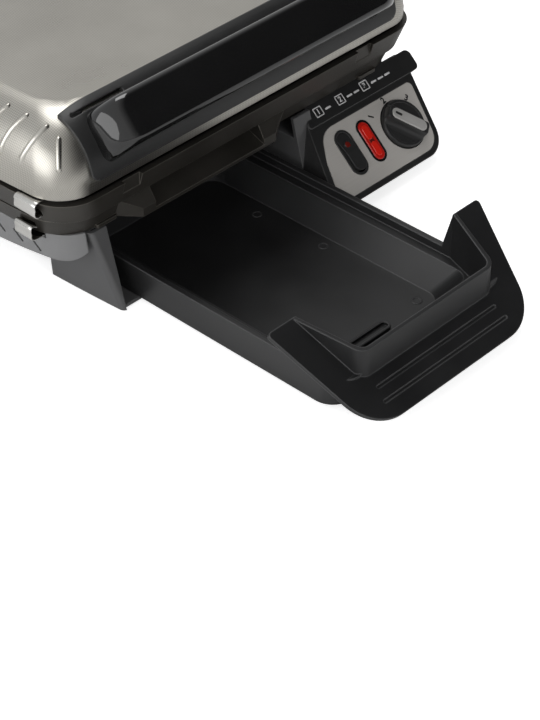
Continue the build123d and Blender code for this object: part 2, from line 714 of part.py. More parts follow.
def make_feet():
    """Four thin rubber pads."""
    return Compound([Pos(x, y, FOOT_HEIGHT / 2) * Cylinder(FOOT_R, FOOT_HEIGHT) for x, y in FEET])


def make_side_shell(side):
    """Vented outer skin between the plate rim and the leg; its lower edge rises towards the front."""
    low = footprint(SHELL_HALF - SHELL_TAPER, 5, BASE_REAR, SHELL_BOW, SHELL_CORNER, SHELL_FOOT_Z)
    high = footprint(SHELL_HALF, 12.5, BASE_REAR, SHELL_BOW, SHELL_CORNER, PLATE_SEAT_Z)
    shell = loft([low, high], ruled=True) - hull(0, PLATE_SEAT_Z + 5)
    near, far = sorted((side * SHELL_INNER, side * 200))
    shell = shell & box(near, far, -20 if side < 0 else 24, BASE_REAR - 14, 0, 80)
    nose, end = SHELL_NOSE[0], SHELL_EDGE[-1]
    below = [end, (end[0], 0), (-20, 0), (-20, nose[1]), nose]
    edges = [ThreePointArc(*SHELL_NOSE), ThreePointArc(*SHELL_EDGE)]
    under = make_face(edges + [Line(a, b) for a, b in zip(below, below[1:])])
    shell -= Pos(-200, 0, 0) * extrude(Plane.YZ * under, 400, dir=(1, 0, 0))
    for index in range(VENT_COUNT):
        y = VENT_FRONT + index * VENT_PITCH
        slit = Box(30, VENT_WIDTH, VENT_HEIGHT)
        shell -= Pos(side * 165, y, VENT_Z) * Rot(-VENT_SLANT, 0, 0) * slit
    top = PLATE_SEAT_Z + 1
    return shell - clip_housing(
        side, LOWER_PIVOT_X, LOWER_PIVOT_Z, LOWER_CLIP_FRONT, LOWER_CLIP_WIDTH, 57.5, top
    )


def panel_left(down):
    """Left edge of the control block, a distance down the slope."""
    return PANEL_LEFT - PANEL_LEFT_SLANT * down


def panel_right(down):
    """Right edge of the control block, a distance down the slope."""
    return PANEL_RIGHT - PANEL_RIGHT_SLANT * down


def front_outline(points, corners):
    """Closed outline in the panel plane, given as (x, down) points, each with its own corner radius."""
    face = make_face(Polyline(*[(x, -down) for x, down in points], close=True))
    for (x, down), radius in zip(points, corners):
        if radius:
            near = face.vertices().sort_by_distance((x, -down, 0))[0]
            face = fillet(near, radius)
    return face


def block_outline(inset=0.0):
    """Front of the control block, seen square to the slope."""
    low = PANEL_LENGTH - inset
    points = [
        (panel_left(0) + inset, inset - 1), (panel_right(0) - inset, inset - 1),
        (panel_right(low) - inset, low), (panel_left(low) + inset, low),
    ]
    return front_outline(points, (3, 3, 19 - inset, 8 - inset))


def face_outline(inset=0.0):
    """Brushed plate of the panel, seen square to the slope."""
    points = [
        (panel_left(FACE_TOP) + 10 + inset, FACE_TOP + inset),
        (panel_right(FACE_TOP) - 4.5 - inset, FACE_TOP + inset),
        (panel_right(FACE_BOTTOM) - 4.5 - inset, FACE_BOTTOM - inset),
        (panel_left(FACE_BOTTOM) + 5 + inset, FACE_BOTTOM - inset),
        (panel_left(38) + 5 + inset, 38),
    ]
    return front_outline(points, (17, 4, 15, 4, 6))


def level_prism(face, front, back):
    """Push a panel-plane outline straight back along Y, between two depths."""
    placed = panel_plane * face
    return extrude(Pos(0, -front, 0) * placed, back + front, dir=(0, 1, 0))


def make_panel_block():
    """Hollow control housing with a reclined front, a raised ledge and a cup for the dial."""
    behind = 60.0
    shell = level_prism(block_outline(), 0, behind)
    wall_back = PANEL_THICK / cos(radians(PANEL_RECLINE))
    hollow = level_prism(block_outline(PANEL_THICK), -wall_back, behind)
    cut_back = box(0, 250, BLOCK_BACK, 200, -50, 120)
    block = shell - hollow - cut_back
    block += box(panel_left(0), panel_right(10), 6, BLOCK_BACK, 44, PANEL_Z - 1.5) & shell
    ledge = front_outline(
        [(LEDGE_LEFT, -LEDGE_RISE), (LEDGE_RIGHT, -LEDGE_RISE), (LEDGE_RIGHT, LEDGE_LENGTH),
         (panel_left(LEDGE_LENGTH), LEDGE_LENGTH)],
        (2, 5, 4, 2),
    )
    block += panel_plane * Pos(0, 0, -7) * extrude(ledge, 8)
    cup = Cylinder(DIAL_HOLE_R + 2, CUP_DEPTH)
    block += on_panel(Pos(0, 0, -CUP_DEPTH / 2) * cup, DIAL_X, DIAL_V)
    well = Pos(0, 0, -CUP_DEPTH / 2 + CUP_FLOOR) * Cylinder(DIAL_HOLE_R, CUP_DEPTH)
    block -= on_panel(well, DIAL_X, DIAL_V)
    block -= on_panel(Cylinder(SHAFT_R + 1, 40), DIAL_X, DIAL_V)
    block -= panel_plane * extrude(face_outline(-0.2), -FACE_RECESS)
    block -= panel_openings()
    block -= hull(0, PLATE_SEAT_Z) - ledge_room()
    return block


def panel_openings():
    """Stadium openings for the lens and the switch."""
    lens = on_panel(Pos(0, 0, 2) * stadium(LENS_LENGTH, LENS_WIDTH, 12), LENS_X, STADIUM_V)
    switch = on_panel(Pos(0, 0, 2) * stadium(SWITCH_LENGTH, SWITCH_WIDTH, 12), SWITCH_X, STADIUM_V)
    return lens + switch


def make_panel_face():
    """Brushed plate let into the block, with openings for the dial, the lens and the switch."""
    plate = panel_plane * Pos(0, 0, -FACE_RECESS) * extrude(face_outline(), FACE_THICK)
    plate -= on_panel(Cylinder(DIAL_HOLE_R, 40), DIAL_X, DIAL_V)
    return plate - panel_openings()


def make_dial_knob():
    """Round dial: a skirt that turns in the cup and a raised grip bar across it."""
    base_z = -CUP_DEPTH + CUP_FLOOR + DIAL_GAP
    skirt = Pos(0, 0, (base_z + DIAL_SKIRT) / 2) * Cylinder(DIAL_R, DIAL_SKIRT - base_z)
    skirt = fillet(skirt.edges().sort_by(Axis.Z)[-1], 1.2)
    grip = extrude(SlotOverall(2 * DIAL_R - 1.5, GRIP_WIDTH), DIAL_HEIGHT)
    knob = skirt + grip
    knob -= Pos(0, 0, DIAL_HEIGHT - 1) * extrude(SlotOverall(POINTER_LENGTH, POINTER_WIDTH), 2)
    knob -= Pos(0, 0, base_z + 3) * Cylinder(SHAFT_R, 8)
    return on_panel(Rot(0, 0, POINTER_ANGLE) * knob, DIAL_X, DIAL_V)


def make_dial_pointer():
    """Bright bar let into the top of the grip."""
    bar = Pos(0, 0, DIAL_HEIGHT - 1) * extrude(SlotOverall(POINTER_LENGTH, POINTER_WIDTH), 1.4)
    return on_panel(Rot(0, 0, POINTER_ANGLE) * bar, DIAL_X, DIAL_V)


def make_dial_shaft():
    """Spindle that joins the knob to the thermostat."""
    low = -CUP_DEPTH - THERMO_DEPTH + 2
    high = -CUP_DEPTH + CUP_FLOOR + DIAL_GAP + 7
    return on_panel(Pos(0, 0, (low + high) / 2) * Cylinder(SHAFT_R, high - low), DIAL_X, DIAL_V)


def make_thermostat():
    """Thermostat body on the back of the dial cup."""
    middle = -CUP_DEPTH - THERMO_DEPTH / 2 - FACE_GAP
    body = Pos(0, 0, middle) * Box(28, 18, THERMO_DEPTH)
    bore = Pos(0, 0, middle + 1) * Cylinder(SHAFT_R + RUNNING_FIT, THERMO_DEPTH)
    return on_panel(body - bore, DIAL_X, DIAL_V)


def make_switch_case():
    """Rim and body of the rocker switch."""
    length = SWITCH_LENGTH - 2 * SWITCH_RIM
    width = SWITCH_WIDTH - 2 * SWITCH_RIM
    case = Pos(0, 0, 0.8) * stadium(SWITCH_LENGTH, SWITCH_WIDTH, SWITCH_DEPTH)
    room = Pos(0, 0, 2) * stadium(length, width, SWITCH_DEPTH)
    bore = Pos(0, 0, ROCKER_PIVOT) * Rot(0, 90, 0) * Cylinder(PIVOT_R + RUNNING_FIT, SWITCH_WIDTH - 2)
    return on_panel(case - room - bore, SWITCH_X, STADIUM_V)


def make_rocker():
    """Rocker with a shallow V top, its upper end pressed in."""
    half_length = SWITCH_LENGTH / 2 - SWITCH_RIM - ROCKER_GAP
    half_width = SWITCH_WIDTH / 2 - SWITCH_RIM - ROCKER_GAP / 2
    profile = Polyline(
        (-half_length, 1.2), (0, 3.0), (half_length, 1.2), (half_length - 1.5, -4.0),
        (-half_length + 1.5, -4.0), close=True,
    )
    body = extrude(Plane.YZ * make_face(profile), half_width, both=True)
    body = body & Pos(0, 0, 5) * stadium(2 * half_length, 2 * half_width, 10)
    body += Pos(0, 0, ROCKER_PIVOT) * Rot(0, 90, 0) * Cylinder(PIVOT_R, 2 * half_width + 2.4)
    turned = Pos(0, 0, ROCKER_PIVOT) * Rot(-ROCKER_TILT, 0, 0) * Pos(0, 0, -ROCKER_PIVOT) * body
    return on_panel(turned, SWITCH_X, STADIUM_V)


def make_pilot_ring():
    """Black ring round the pilot lens."""
    ring = Pos(0, 0, 0.6) * stadium(LENS_LENGTH, LENS_WIDTH, 3.2)
    ring -= Pos(0, 0, 2) * stadium(LENS_LENGTH - LENS_RING, LENS_WIDTH - LENS_RING, 8)
    return on_panel(ring, LENS_X, STADIUM_V)


def make_pilot_lens():
    """Clear red lens with a domed top."""
    lens = Pos(0, 0, 1.4) * stadium(LENS_LENGTH - LENS_RING, LENS_WIDTH - LENS_RING, 4.0)
    lens = fillet(lens.edges().group_by(Axis.Z)[-1], 1.2)
    return on_panel(lens, LENS_X, STADIUM_V)


def make_pilot_lamp():
    """Small lamp against the back of the lens."""
    lamp = Pos(0, 0, -2.6 - 3) * Box(6, 18, 6)
    return on_panel(lamp, LENS_X, STADIUM_V)


def tray_section(half, front, rear, corner, z):
    """Plan outline of the tray at height z."""
    return Pos(TRAY_X, (front + rear) / 2, z) * RectangleRounded(2 * half, rear - front, corner)


def collar_plan(inset, rear):
    """Plan of the collar, open to the rear: narrow at the front, wider towards the ears."""
    front = COLLAR_FRONT + inset
    wide = COLLAR_REAR_HALF - inset
    narrow = COLLAR_FRONT_HALF - inset
    points = [
        (-narrow, front), (narrow, front), (wide, COLLAR_REAR), (wide, rear), (-wide, rear),
        (-wide, COLLAR_REAR),
    ]
    face = make_face(Polyline(*points, close=True))
    corners = face.vertices().sort_by(Axis.Y)[:2]
    return Pos(TRAY_X, 0, 0) * fillet(corners, COLLAR_CORNER - inset)


def make_collar():
    """Upright wall that rises behind the fascia and runs back along both ears."""
    tail = COLLAR_REAR + 8
    ring = extrude(collar_plan(0, tail) - collar_plan(COLLAR_WALL, tail + 1), 80)
    side_view = [
        (COLLAR_FRONT - 1, BASIN_LEDGE_Z - 1), (COLLAR_FRONT - 1, COLLAR_FRONT_Z),
        (COLLAR_REAR, COLLAR_REAR_Z), (tail, TRAY_RIM_Z), (tail, BASIN_LEDGE_Z - 1),
    ]
    return ring & across(side_view, TRAY_X - 120, TRAY_X + 120)


def make_fascia():
    """Reclined front plate with two grooves; above the collar's foot only the two ears are left."""
    points = [
        (-FASCIA_LOW_HALF, 0), (FASCIA_LOW_HALF, 0),
        (FASCIA_TOP_HALF, -FASCIA_LENGTH), (-FASCIA_TOP_HALF, -FASCIA_LENGTH),
    ]
    face = front_outline(points, (FASCIA_CORNER, FASCIA_CORNER, 3, 3))
    plate = extrude(face, -FASCIA_THICK)
    for up, half in GROOVES:
        groove = extrude(SlotOverall(2 * half, GROOVE_WIDTH), GROOVE_DEPTH + 1)
        plate -= Pos(0, up, -GROOVE_DEPTH) * groove
    return fascia_plane * plate - extrude(collar_plan(COLLAR_WALL / 2, 0), 100)


def make_drip_tray():
    """Deep pan with a stepped basin, an outer skirt, a collar and a reclined fascia with ears."""
    rim_half = TRAY_RIM_HALF - TRAY_WALL
    foot_half = TRAY_FOOT_HALF - TRAY_WALL
    under_ledge = BASIN_LEDGE_Z - TRAY_WALL
    outer = loft(
        [
            tray_section(TRAY_FOOT_HALF, TRAY_FOOT_FRONT, TRAY_REAR - 4, 16, TRAY_FOOT_Z),
            tray_section(TRAY_RIM_HALF, TRAY_FRONT, TRAY_REAR, 16, TRAY_RIM_Z),
        ],
        ruled=True,
    )
    basin = loft(
        [
            tray_section(BASIN_FLOOR_HALF, BASIN_FRONT, TRAY_REAR - 20, BASIN_CORNER, BASIN_FLOOR_Z),
            tray_section(
                BASIN_LEDGE_HALF, BASIN_FRONT - BASIN_SLOPE, TRAY_REAR - 11, BASIN_CORNER, BASIN_LEDGE_Z
            ),
        ],
        ruled=True,
    )
    mouth = loft(
        [
            tray_section(rim_half - 1, COLLAR_FRONT + 1, TRAY_REAR - 4, BASIN_CORNER, BASIN_LEDGE_Z),
            tray_section(rim_half, COLLAR_FRONT + 1, TRAY_REAR - 2.5, BASIN_CORNER, TRAY_RIM_Z + 0.1),
        ],
        ruled=True,
    )
    mouth = mouth & extrude(collar_plan(COLLAR_WALL, TRAY_REAR), 80)
    skirt_front = TRAY_FOOT_FRONT + TRAY_WALL
    gutter = loft(
        [
            tray_section(foot_half, skirt_front, TRAY_REAR - 4 - TRAY_WALL, 14, 1),
            tray_section(foot_half + 2.8, skirt_front - 6, TRAY_REAR - 5, 14, under_ledge),
        ],
        ruled=True,
    )
    core_half = BASIN_FLOOR_HALF + TRAY_WALL / 2
    core = loft(
        [
            tray_section(core_half, BASIN_FRONT - 1, TRAY_REAR - 19, BASIN_CORNER, 0.9),
            tray_section(
                BASIN_LEDGE_HALF + TRAY_WALL, BASIN_FRONT - BASIN_SLOPE - TRAY_WALL,
                TRAY_REAR - 11 + TRAY_WALL, BASIN_CORNER, BASIN_LEDGE_Z,
            ),
        ],
        ruled=True,
    )
    pan = outer - basin - mouth - (gutter - core)
    return pan + make_collar() + make_fascia()


def make_tray_shield():
    """Bright sheet under the deck that keeps heat off the tray."""
    return box(TUNNEL_LEFT + 2, TUNNEL_RIGHT - 2, DECK_FRONT + 4, BASE_REAR - 8, DECK_Z - SHEET, DECK_Z)


def heater_path(z):
    """U-shaped run of a tubular element with two tails to the rear."""
    tail_y = HEATER_REAR + HEATER_TAIL
    points = [
        (HEATER_LOOP, tail_y, z), (HEATER_LOOP, HEATER_REAR, z), (HEATER_HALF, HEATER_REAR, z),
        (HEATER_HALF, HEATER_FRONT, z), (-HEATER_HALF, HEATER_FRONT, z), (-HEATER_HALF, HEATER_REAR, z),
        (-HEATER_LOOP, HEATER_REAR, z), (-HEATER_LOOP, tail_y, z),
    ]
    return FilletPolyline(*points, radius=16)


def make_heater(z):
    """Tubular element swept along its run."""
    path = heater_path(z)
    section = Plane(origin=path @ 0, z_dir=path % 0) * Circle(HEATER_R)
    return sweep(section, path=path)


def make_heater_posts(z0, z1):
    """Four sheet posts between the reflector and the element."""
    return Compound([box(x - 5, x + 5, y - 1, y + 1, z0, z1) for x, y in HEATER_POSTS])


def make_reflector(z_floor, z_edge):
    """Shallow sheet dish behind a heating element."""
    low, high = sorted((z_floor, z_edge))
    front = DECK_FRONT + 4
    outer = footprint(REFLECTOR_HALF, front, REFLECTOR_REAR, 4, 18, low)
    inner = footprint(REFLECTOR_HALF - SHEET, front + SHEET, REFLECTOR_REAR - SHEET, 4, 17.2, low)
    dish = extrude(outer, high - low)
    hollow = extrude(inner, high - low)
    shift = SHEET if z_edge > z_floor else -SHEET
    return dish - Pos(0, 0, shift) * hollow


def make_gland():
    """Cord inlet in the rear wall, with nothing in its bore."""
    flange = Pos(GLAND_X, BASE_REAR + 1.5, GLAND_Z) * Rot(90, 0, 0) * Cylinder(GLAND_R + 2, 3)
    neck = Pos(GLAND_X, BASE_REAR, GLAND_Z) * Rot(90, 0, 0) * Cylinder(GLAND_R - 2, 12)
    sleeve = Pos(GLAND_X, BASE_REAR + 8, GLAND_Z) * Rot(90, 0, 0) * Cylinder(GLAND_R - 1, 14)
    bore = Pos(GLAND_X, BASE_REAR, GLAND_Z) * Rot(90, 0, 0) * Cylinder(GLAND_BORE_R, 60)
    return flange + neck + sleeve - bore


def make_terminal_block():
    """Three-way block on the tunnel wall, with its clamping screws' holes."""
    left = TUNNEL_RIGHT + BASE_WALL
    block = box(left, left + 12, 170, 200, 18, 30)
    for index in range(3):
        block -= Pos(left + 6, 176 + index * 9, 27) * Cylinder(2, 8)
    return block


def make_thermal_cutout():
    """Round cut-out on the floor of the lower reflector."""
    floor = DECK_Z + DECK_THICK + SHEET
    return Pos(50, 125, floor + 3) * Cylinder(8, 6) + Pos(50, 125, floor + 7) * Box(5, 12, 2)


def make_handle_screws():
    """Two screws from inside the lid up into the handle's legs."""
    screws = []
    for side in SIDES:
        x = side * (HANDLE_HALF - HANDLE_LEG / 2)
        shank = Pos(x, 0, 3) * Cylinder(SCREW_R, 16)
        head = Pos(x, 0, -6) * Cylinder(SCREW_HEAD_R, 2)
        screws.append(handle_rest() * (shank + head))
    return Compound(screws)


if __name__ == "__main__":
    os.makedirs("parts", exist_ok=True)
    screws = make_handle_screws()
    save("upper_plate", make_upper_plate())
    save("lower_plate", make_lower_plate())
    shell = dome(0) - dome(LID_SHEET) - box(-400, 400, -100, 400, 0, LID_SKIRT_Z - 0.01)
    save("lid_shell", shell - screws)
    save("lid_frame", make_lid_frame())
    save("handle_bezel", make_bezel() - screws)
    save("handle", make_handle() - screws)
    save("handle_screws", screws)
    for side, word in ((-1, "left"), (1, "right")):
        save(f"upper_clip_{word}", make_upper_clip(side))
        save(f"lower_clip_{word}", make_lower_clip(side))
        save(f"side_shell_{word}", make_side_shell(side))
        save(f"float_guide_{word}", make_float_guide(side))
    save("base_housing", make_base_housing())
    save("base_cover", make_base_cover())
    save("base_screws", make_base_screws())
    save("feet", make_feet())
    save("hinge_shaft", make_hinge_shaft())
    save("shaft_clips", make_shaft_clips())
    save("panel_block", make_panel_block())
    save("panel_face", make_panel_face())
    save("dial_knob", make_dial_knob())
    save("dial_pointer", make_dial_pointer())
    save("dial_shaft", make_dial_shaft())
    save("thermostat", make_thermostat())
    save("switch_case", make_switch_case())
    save("rocker_switch", make_rocker())
    save("pilot_ring", make_pilot_ring())
    save("pilot_lens", make_pilot_lens())
    save("pilot_lamp", make_pilot_lamp())
    save("drip_tray", make_drip_tray())
    save("tray_shield", make_tray_shield())
    lower_floor = DECK_Z + DECK_THICK
    upper_floor = FRAME_DECK_Z - FRAME_DECK
    lower_z = LOWER_FACE_Z - PLATE_FLOOR - HEATER_R - HEATER_GAP
    upper_z = UPPER_FACE_Z + PLATE_FLOOR + HEATER_R + HEATER_GAP
    save("lower_heater", make_heater(lower_z))
    save("upper_heater", make_heater(upper_z))
    save("lower_heater_posts", make_heater_posts(lower_floor + SHEET, lower_z - HEATER_R))
    save("upper_heater_posts", make_heater_posts(upper_z + HEATER_R, upper_floor - SHEET))
    save("lower_reflector", make_reflector(lower_floor, lower_floor + 11))
    save("upper_reflector", make_reflector(upper_floor, upper_floor - 7))
    save("thermal_cutout", make_thermal_cutout())
    save("cord_gland", make_gland())
    save("terminal_block", make_terminal_block())
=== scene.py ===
import json
import math

import bpy
from mathutils import Matrix, Vector

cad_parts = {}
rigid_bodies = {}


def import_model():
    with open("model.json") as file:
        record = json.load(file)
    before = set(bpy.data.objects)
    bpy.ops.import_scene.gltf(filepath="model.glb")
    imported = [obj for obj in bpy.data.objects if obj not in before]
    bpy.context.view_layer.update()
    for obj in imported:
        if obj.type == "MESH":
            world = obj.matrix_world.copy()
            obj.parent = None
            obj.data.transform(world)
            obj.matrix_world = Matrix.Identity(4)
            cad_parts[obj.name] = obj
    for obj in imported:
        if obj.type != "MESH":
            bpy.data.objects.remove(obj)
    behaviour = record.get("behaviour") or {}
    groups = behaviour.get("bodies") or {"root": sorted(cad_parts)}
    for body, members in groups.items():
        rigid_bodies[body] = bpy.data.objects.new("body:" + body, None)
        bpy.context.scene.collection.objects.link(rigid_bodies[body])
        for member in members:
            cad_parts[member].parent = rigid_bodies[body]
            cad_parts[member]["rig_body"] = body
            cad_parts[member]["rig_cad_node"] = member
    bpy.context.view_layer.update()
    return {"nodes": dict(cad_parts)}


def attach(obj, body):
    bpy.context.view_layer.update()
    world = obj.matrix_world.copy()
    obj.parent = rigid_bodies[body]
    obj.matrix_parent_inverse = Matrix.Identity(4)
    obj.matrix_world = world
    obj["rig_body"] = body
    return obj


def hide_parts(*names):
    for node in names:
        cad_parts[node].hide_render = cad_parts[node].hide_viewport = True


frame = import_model()
nodes = frame["nodes"]
MM = 0.001

# Camera. The grill is seen from its front left corner and well above, through a long lens,
# with the drip tray pulled out towards the viewer.
CAMERA_PLACE = (-0.9175, -0.9046, 0.8846)
CAMERA_AZIMUTH = math.radians(-46.63)
CAMERA_ELEVATION = math.radians(38.28)
FOCAL_LENGTH = 109.85
SENSOR_WIDTH = 36.0
CLIP_RANGE = (0.05, 50.0)

lens_data = bpy.data.cameras.new("camera")
lens_data.lens = FOCAL_LENGTH
lens_data.sensor_width = SENSOR_WIDTH
lens_data.clip_start, lens_data.clip_end = CLIP_RANGE
camera = bpy.data.objects.new("camera", lens_data)
bpy.context.scene.collection.objects.link(camera)
camera_back = Vector((
    math.sin(CAMERA_AZIMUTH) * math.cos(CAMERA_ELEVATION),
    -math.cos(CAMERA_AZIMUTH) * math.cos(CAMERA_ELEVATION),
    math.sin(CAMERA_ELEVATION),
))
camera.location = CAMERA_PLACE
camera.rotation_mode = "QUATERNION"
camera.rotation_quaternion = (-camera_back).to_track_quat("-Z", "Y")
bpy.context.scene.camera = camera

# Studio. A white table with soft boxes at the left, above and low in front. The tent that the
# steel and the gloss plastic mirror is bright on the left and dark at the front right. The table
# glows for the camera, except below the grill, where it lies in shadow.
TENT_DARK_SIDE = (0.66, -0.62, 0.42)
TENT_STOPS = ((0.30, (0.66, 0.67, 0.68)), (0.68, (0.58, 0.58, 0.58)), (0.86, (0.030, 0.030, 0.032)))
TABLE_SIZE = 16.0
TABLE_TOP_Z = -0.0002
TABLE_GLOW = 0.72
SHADE_MIDDLE = (0.0, 0.12, 0.0)
SHADE_EDGES = (("X", 0.100, 0.130), ("Y", 0.085, 0.118))


def soft_box(name, place, target, width, height, watts, mirrored=True):
    """Rectangular light turned to its target, left out of reflections if not mirrored."""
    data = bpy.data.lights.new(name, "AREA")
    data.shape = "RECTANGLE"
    data.size = width
    data.size_y = height
    data.energy = watts
    lamp = bpy.data.objects.new(name, data)
    lamp.location = place
    lamp.visible_glossy = mirrored
    lamp.rotation_mode = "QUATERNION"
    lamp.rotation_quaternion = (Vector(target) - Vector(place)).to_track_quat("-Z", "Y")
    bpy.context.scene.collection.objects.link(lamp)


def join(tree, socket, source):
    """Link a socket to another one, or set its plain value."""
    if isinstance(source, bpy.types.NodeSocket):
        tree.links.new(source, socket)
    else:
        socket.default_value = source


def feed(tree, node, **sources):
    """Join a node's inputs by name, where Grain_Scale means Grain Scale."""
    for label, source in sources.items():
        join(tree, node.inputs[label.replace("_", " ")], source)
    return node


def reckon(tree, operation, *sources, kind="ShaderNodeMath"):
    """Math node with its inputs joined in order."""
    node = tree.nodes.new(kind)
    node.operation = operation
    for socket, source in zip(node.inputs, sources):
        join(tree, socket, source)
    return node.outputs["Value" if kind == "ShaderNodeMath" or operation == "DOT_PRODUCT" else "Vector"]


def split(tree, vector):
    """The three parts of a vector."""
    return feed(tree, tree.nodes.new("ShaderNodeSeparateXYZ"), Vector=vector).outputs


def stretch(tree, value, low, high, start=0.0, end=1.0):
    """A value's run from start to end, drawn onto low to high and held there."""
    node = feed(tree, tree.nodes.new("ShaderNodeMapRange"), Value=value,
                From_Min=start, From_Max=end, To_Min=low, To_Max=high)
    return node.outputs["Result"]


def new_material(name):
    """Material, its node tree and its shader."""
    material = bpy.data.materials.new(name)
    material.use_nodes = True
    return material, material.node_tree, material.node_tree.nodes["Principled BSDF"]


soft_box("key_box", (-1.9, 0.1, 0.75), target=(0.0, -0.05, 0.05), width=2.0, height=1.2, watts=15.0)
soft_box("top_box", (0.3, 0.5, 1.75), target=(0.0, 0.0, 0.0), width=0.9, height=0.8, watts=9.0)
soft_box("front_box", (-0.45, -1.7, 0.85), target=(0.0, -0.1, 0.03), width=0.7, height=0.5, watts=11.0,
         mirrored=False)

bpy.context.scene.view_settings.view_transform = "Standard"
world = bpy.data.worlds.new("tent")
bpy.context.scene.world = world
world.use_nodes = True
tent = world.node_tree
tent.nodes.clear()
tent_way = tent.nodes.new("ShaderNodeTexCoord").outputs["Generated"]
tent_side = reckon(tent, "DOT_PRODUCT", tent_way, Vector(TENT_DARK_SIDE).normalized(),
                   kind="ShaderNodeVectorMath")
tent_ramp = feed(tent, tent.nodes.new("ShaderNodeValToRGB"),
                 Fac=reckon(tent, "MULTIPLY_ADD", tent_side, 0.5, 0.5))
tent_ramp.color_ramp.elements.new(0.5)
for stop, (position, tone) in zip(tent_ramp.color_ramp.elements, TENT_STOPS):
    stop.position = position
    stop.color = (*tone, 1.0)
tent_light = feed(tent, tent.nodes.new("ShaderNodeBackground"), Color=tent_ramp.outputs["Color"])
tent_seen = feed(tent, tent.nodes.new("ShaderNodeBackground"), Color=(0.8, 0.8, 0.8, 1.0))
tent_mix = feed(tent, tent.nodes.new("ShaderNodeMixShader"),
                Fac=tent.nodes.new("ShaderNodeLightPath").outputs["Is Camera Ray"])
join(tent, tent_mix.inputs[1], tent_light.outputs["Background"])
join(tent, tent_mix.inputs[2], tent_seen.outputs["Background"])
feed(tent, tent.nodes.new("ShaderNodeOutputWorld"), Surface=tent_mix.outputs["Shader"])

bpy.ops.object.select_all(action="DESELECT")
bpy.ops.mesh.primitive_plane_add(size=TABLE_SIZE, location=(0, 0, TABLE_TOP_Z))
table_top = bpy.context.object
table_top.name = "table_top"
table_material, table_tree, table_shader = new_material("white_table")
table_spot = table_tree.nodes.new("ShaderNodeNewGeometry").outputs["Position"]
table_reach = reckon(table_tree, "SUBTRACT", table_spot, SHADE_MIDDLE, kind="ShaderNodeVectorMath")
table_reach = reckon(table_tree, "ABSOLUTE", table_reach, kind="ShaderNodeVectorMath")
table_sides = split(table_tree, table_reach)
table_clear = [stretch(table_tree, table_sides[axis], 0.0, 1.0, near, far) for axis, near, far in SHADE_EDGES]
table_seen = table_tree.nodes.new("ShaderNodeLightPath").outputs["Is Camera Ray"]
table_lit = reckon(table_tree, "MULTIPLY", table_seen, reckon(table_tree, "MAXIMUM", *table_clear))
feed(table_tree, table_shader, Base_Color=(0.82, 0.82, 0.82, 1.0), Roughness=0.75,
     Emission_Color=(1.0, 1.0, 1.0, 1.0),
     Emission_Strength=reckon(table_tree, "MULTIPLY", table_lit, TABLE_GLOW))
table_top.data.materials.append(table_material)

# Lid sheet: one pressing of stainless steel with a fine diagonal linen emboss and a satin
# champagne tone, curled over on all sides. The emboss's light and shade is also painted into its
# colour. It is spot-fixed to the lid's inner frame.
LID_WALL_Z = 0.103
LID_RUN = 0.038
LID_RISE = 0.044
CURL_STEPS = 60
CURL_LEAN = 0.02
LINEN_PITCH = 0.0021
LINEN_DEPTH = 0.000025
LINEN_PAINTED_SHADE = 0.8
STEEL_DARK = (0.36, 0.345, 0.31, 1.0)
STEEL_LIGHT = (0.56, 0.54, 0.495, 1.0)


def start_fresh():
    """Object mode with nothing selected."""
    if bpy.context.object and bpy.context.object.mode != "OBJECT":
        bpy.ops.object.mode_set(mode="OBJECT")
    bpy.ops.object.select_all(action="DESELECT")


def take(piece):
    """Select one piece alone and make it the active one."""
    start_fresh()
    piece.select_set(True)
    bpy.context.view_layer.objects.active = piece


def new_group(name, inputs, outputs):
    """Empty shader group with its sockets."""
    group = bpy.data.node_groups.new(name, "ShaderNodeTree")
    for label, kind, value in inputs:
        group.interface.new_socket(label, in_out="INPUT", socket_type=kind).default_value = value
    for label, kind in outputs:
        group.interface.new_socket(label, in_out="OUTPUT", socket_type=kind)
    return group, group.nodes.new("NodeGroupInput"), group.nodes.new("NodeGroupOutput")


def blend(tree, share, first, second):
    """Colour between two others."""
    node = tree.nodes.new("ShaderNodeMix")
    node.data_type = "RGBA"
    return feed(tree, node, Factor=share, A=first, B=second).outputs["Result"]


def clouds(tree, place, scale, detail=2.0):
    """Cloudy noise over a place."""
    node = feed(tree, tree.nodes.new("ShaderNodeTexNoise"), Vector=place, Scale=scale, Detail=detail)
    return node.outputs["Fac"]


def emboss(tree, height, depth, **below):
    """Normals of a surface that is raised by a height."""
    node = feed(tree, tree.nodes.new("ShaderNodeBump"), Strength=1.0, Distance=depth, Height=height, **below)
    return node.outputs["Normal"]


def moulded_skin_group():
    """Fine spark-eroded grain, slow tone changes and softly rounded edges."""
    group, given, made = new_group(
        "moulded_skin",
        [("Grain Scale", "NodeSocketFloat", 1500.0), ("Grain Depth", "NodeSocketFloat", 0.00003),
         ("Edge Round", "NodeSocketFloat", 0.0006)],
        [("Tone", "NodeSocketFloat"), ("Edge", "NodeSocketFloat"), ("Normal", "NodeSocketVector")],
    )
    place = group.nodes.new("ShaderNodeTexCoord").outputs["Object"]
    bevel = group.nodes.new("ShaderNodeBevel")
    bevel.samples = 6
    rounded = feed(group, bevel, Radius=given.outputs["Edge Round"]).outputs["Normal"]
    grain = clouds(group, place, given.outputs["Grain Scale"])
    plain = group.nodes.new("ShaderNodeNewGeometry").outputs["Normal"]
    turn = reckon(group, "DOT_PRODUCT", rounded, plain, kind="ShaderNodeVectorMath")
    # Edge marks the rounded edges, where the finish paints a highlight into the colour.
    feed(group, made, Tone=stretch(group, clouds(group, place, 22.0, 4.0), 0.0, 1.0, 0.3, 0.7),
         Edge=stretch(group, turn, 0.0, 1.0, 1.0, 0.82),
         Normal=emboss(group, grain, given.outputs["Grain Depth"], Normal=rounded))
    return group


moulded_skin = moulded_skin_group()


def skin_node(tree, **settings):
    """The moulded skin, placed in a material."""
    skin = tree.nodes.new("ShaderNodeGroup")
    skin.node_tree = moulded_skin
    return feed(tree, skin, **settings).outputs


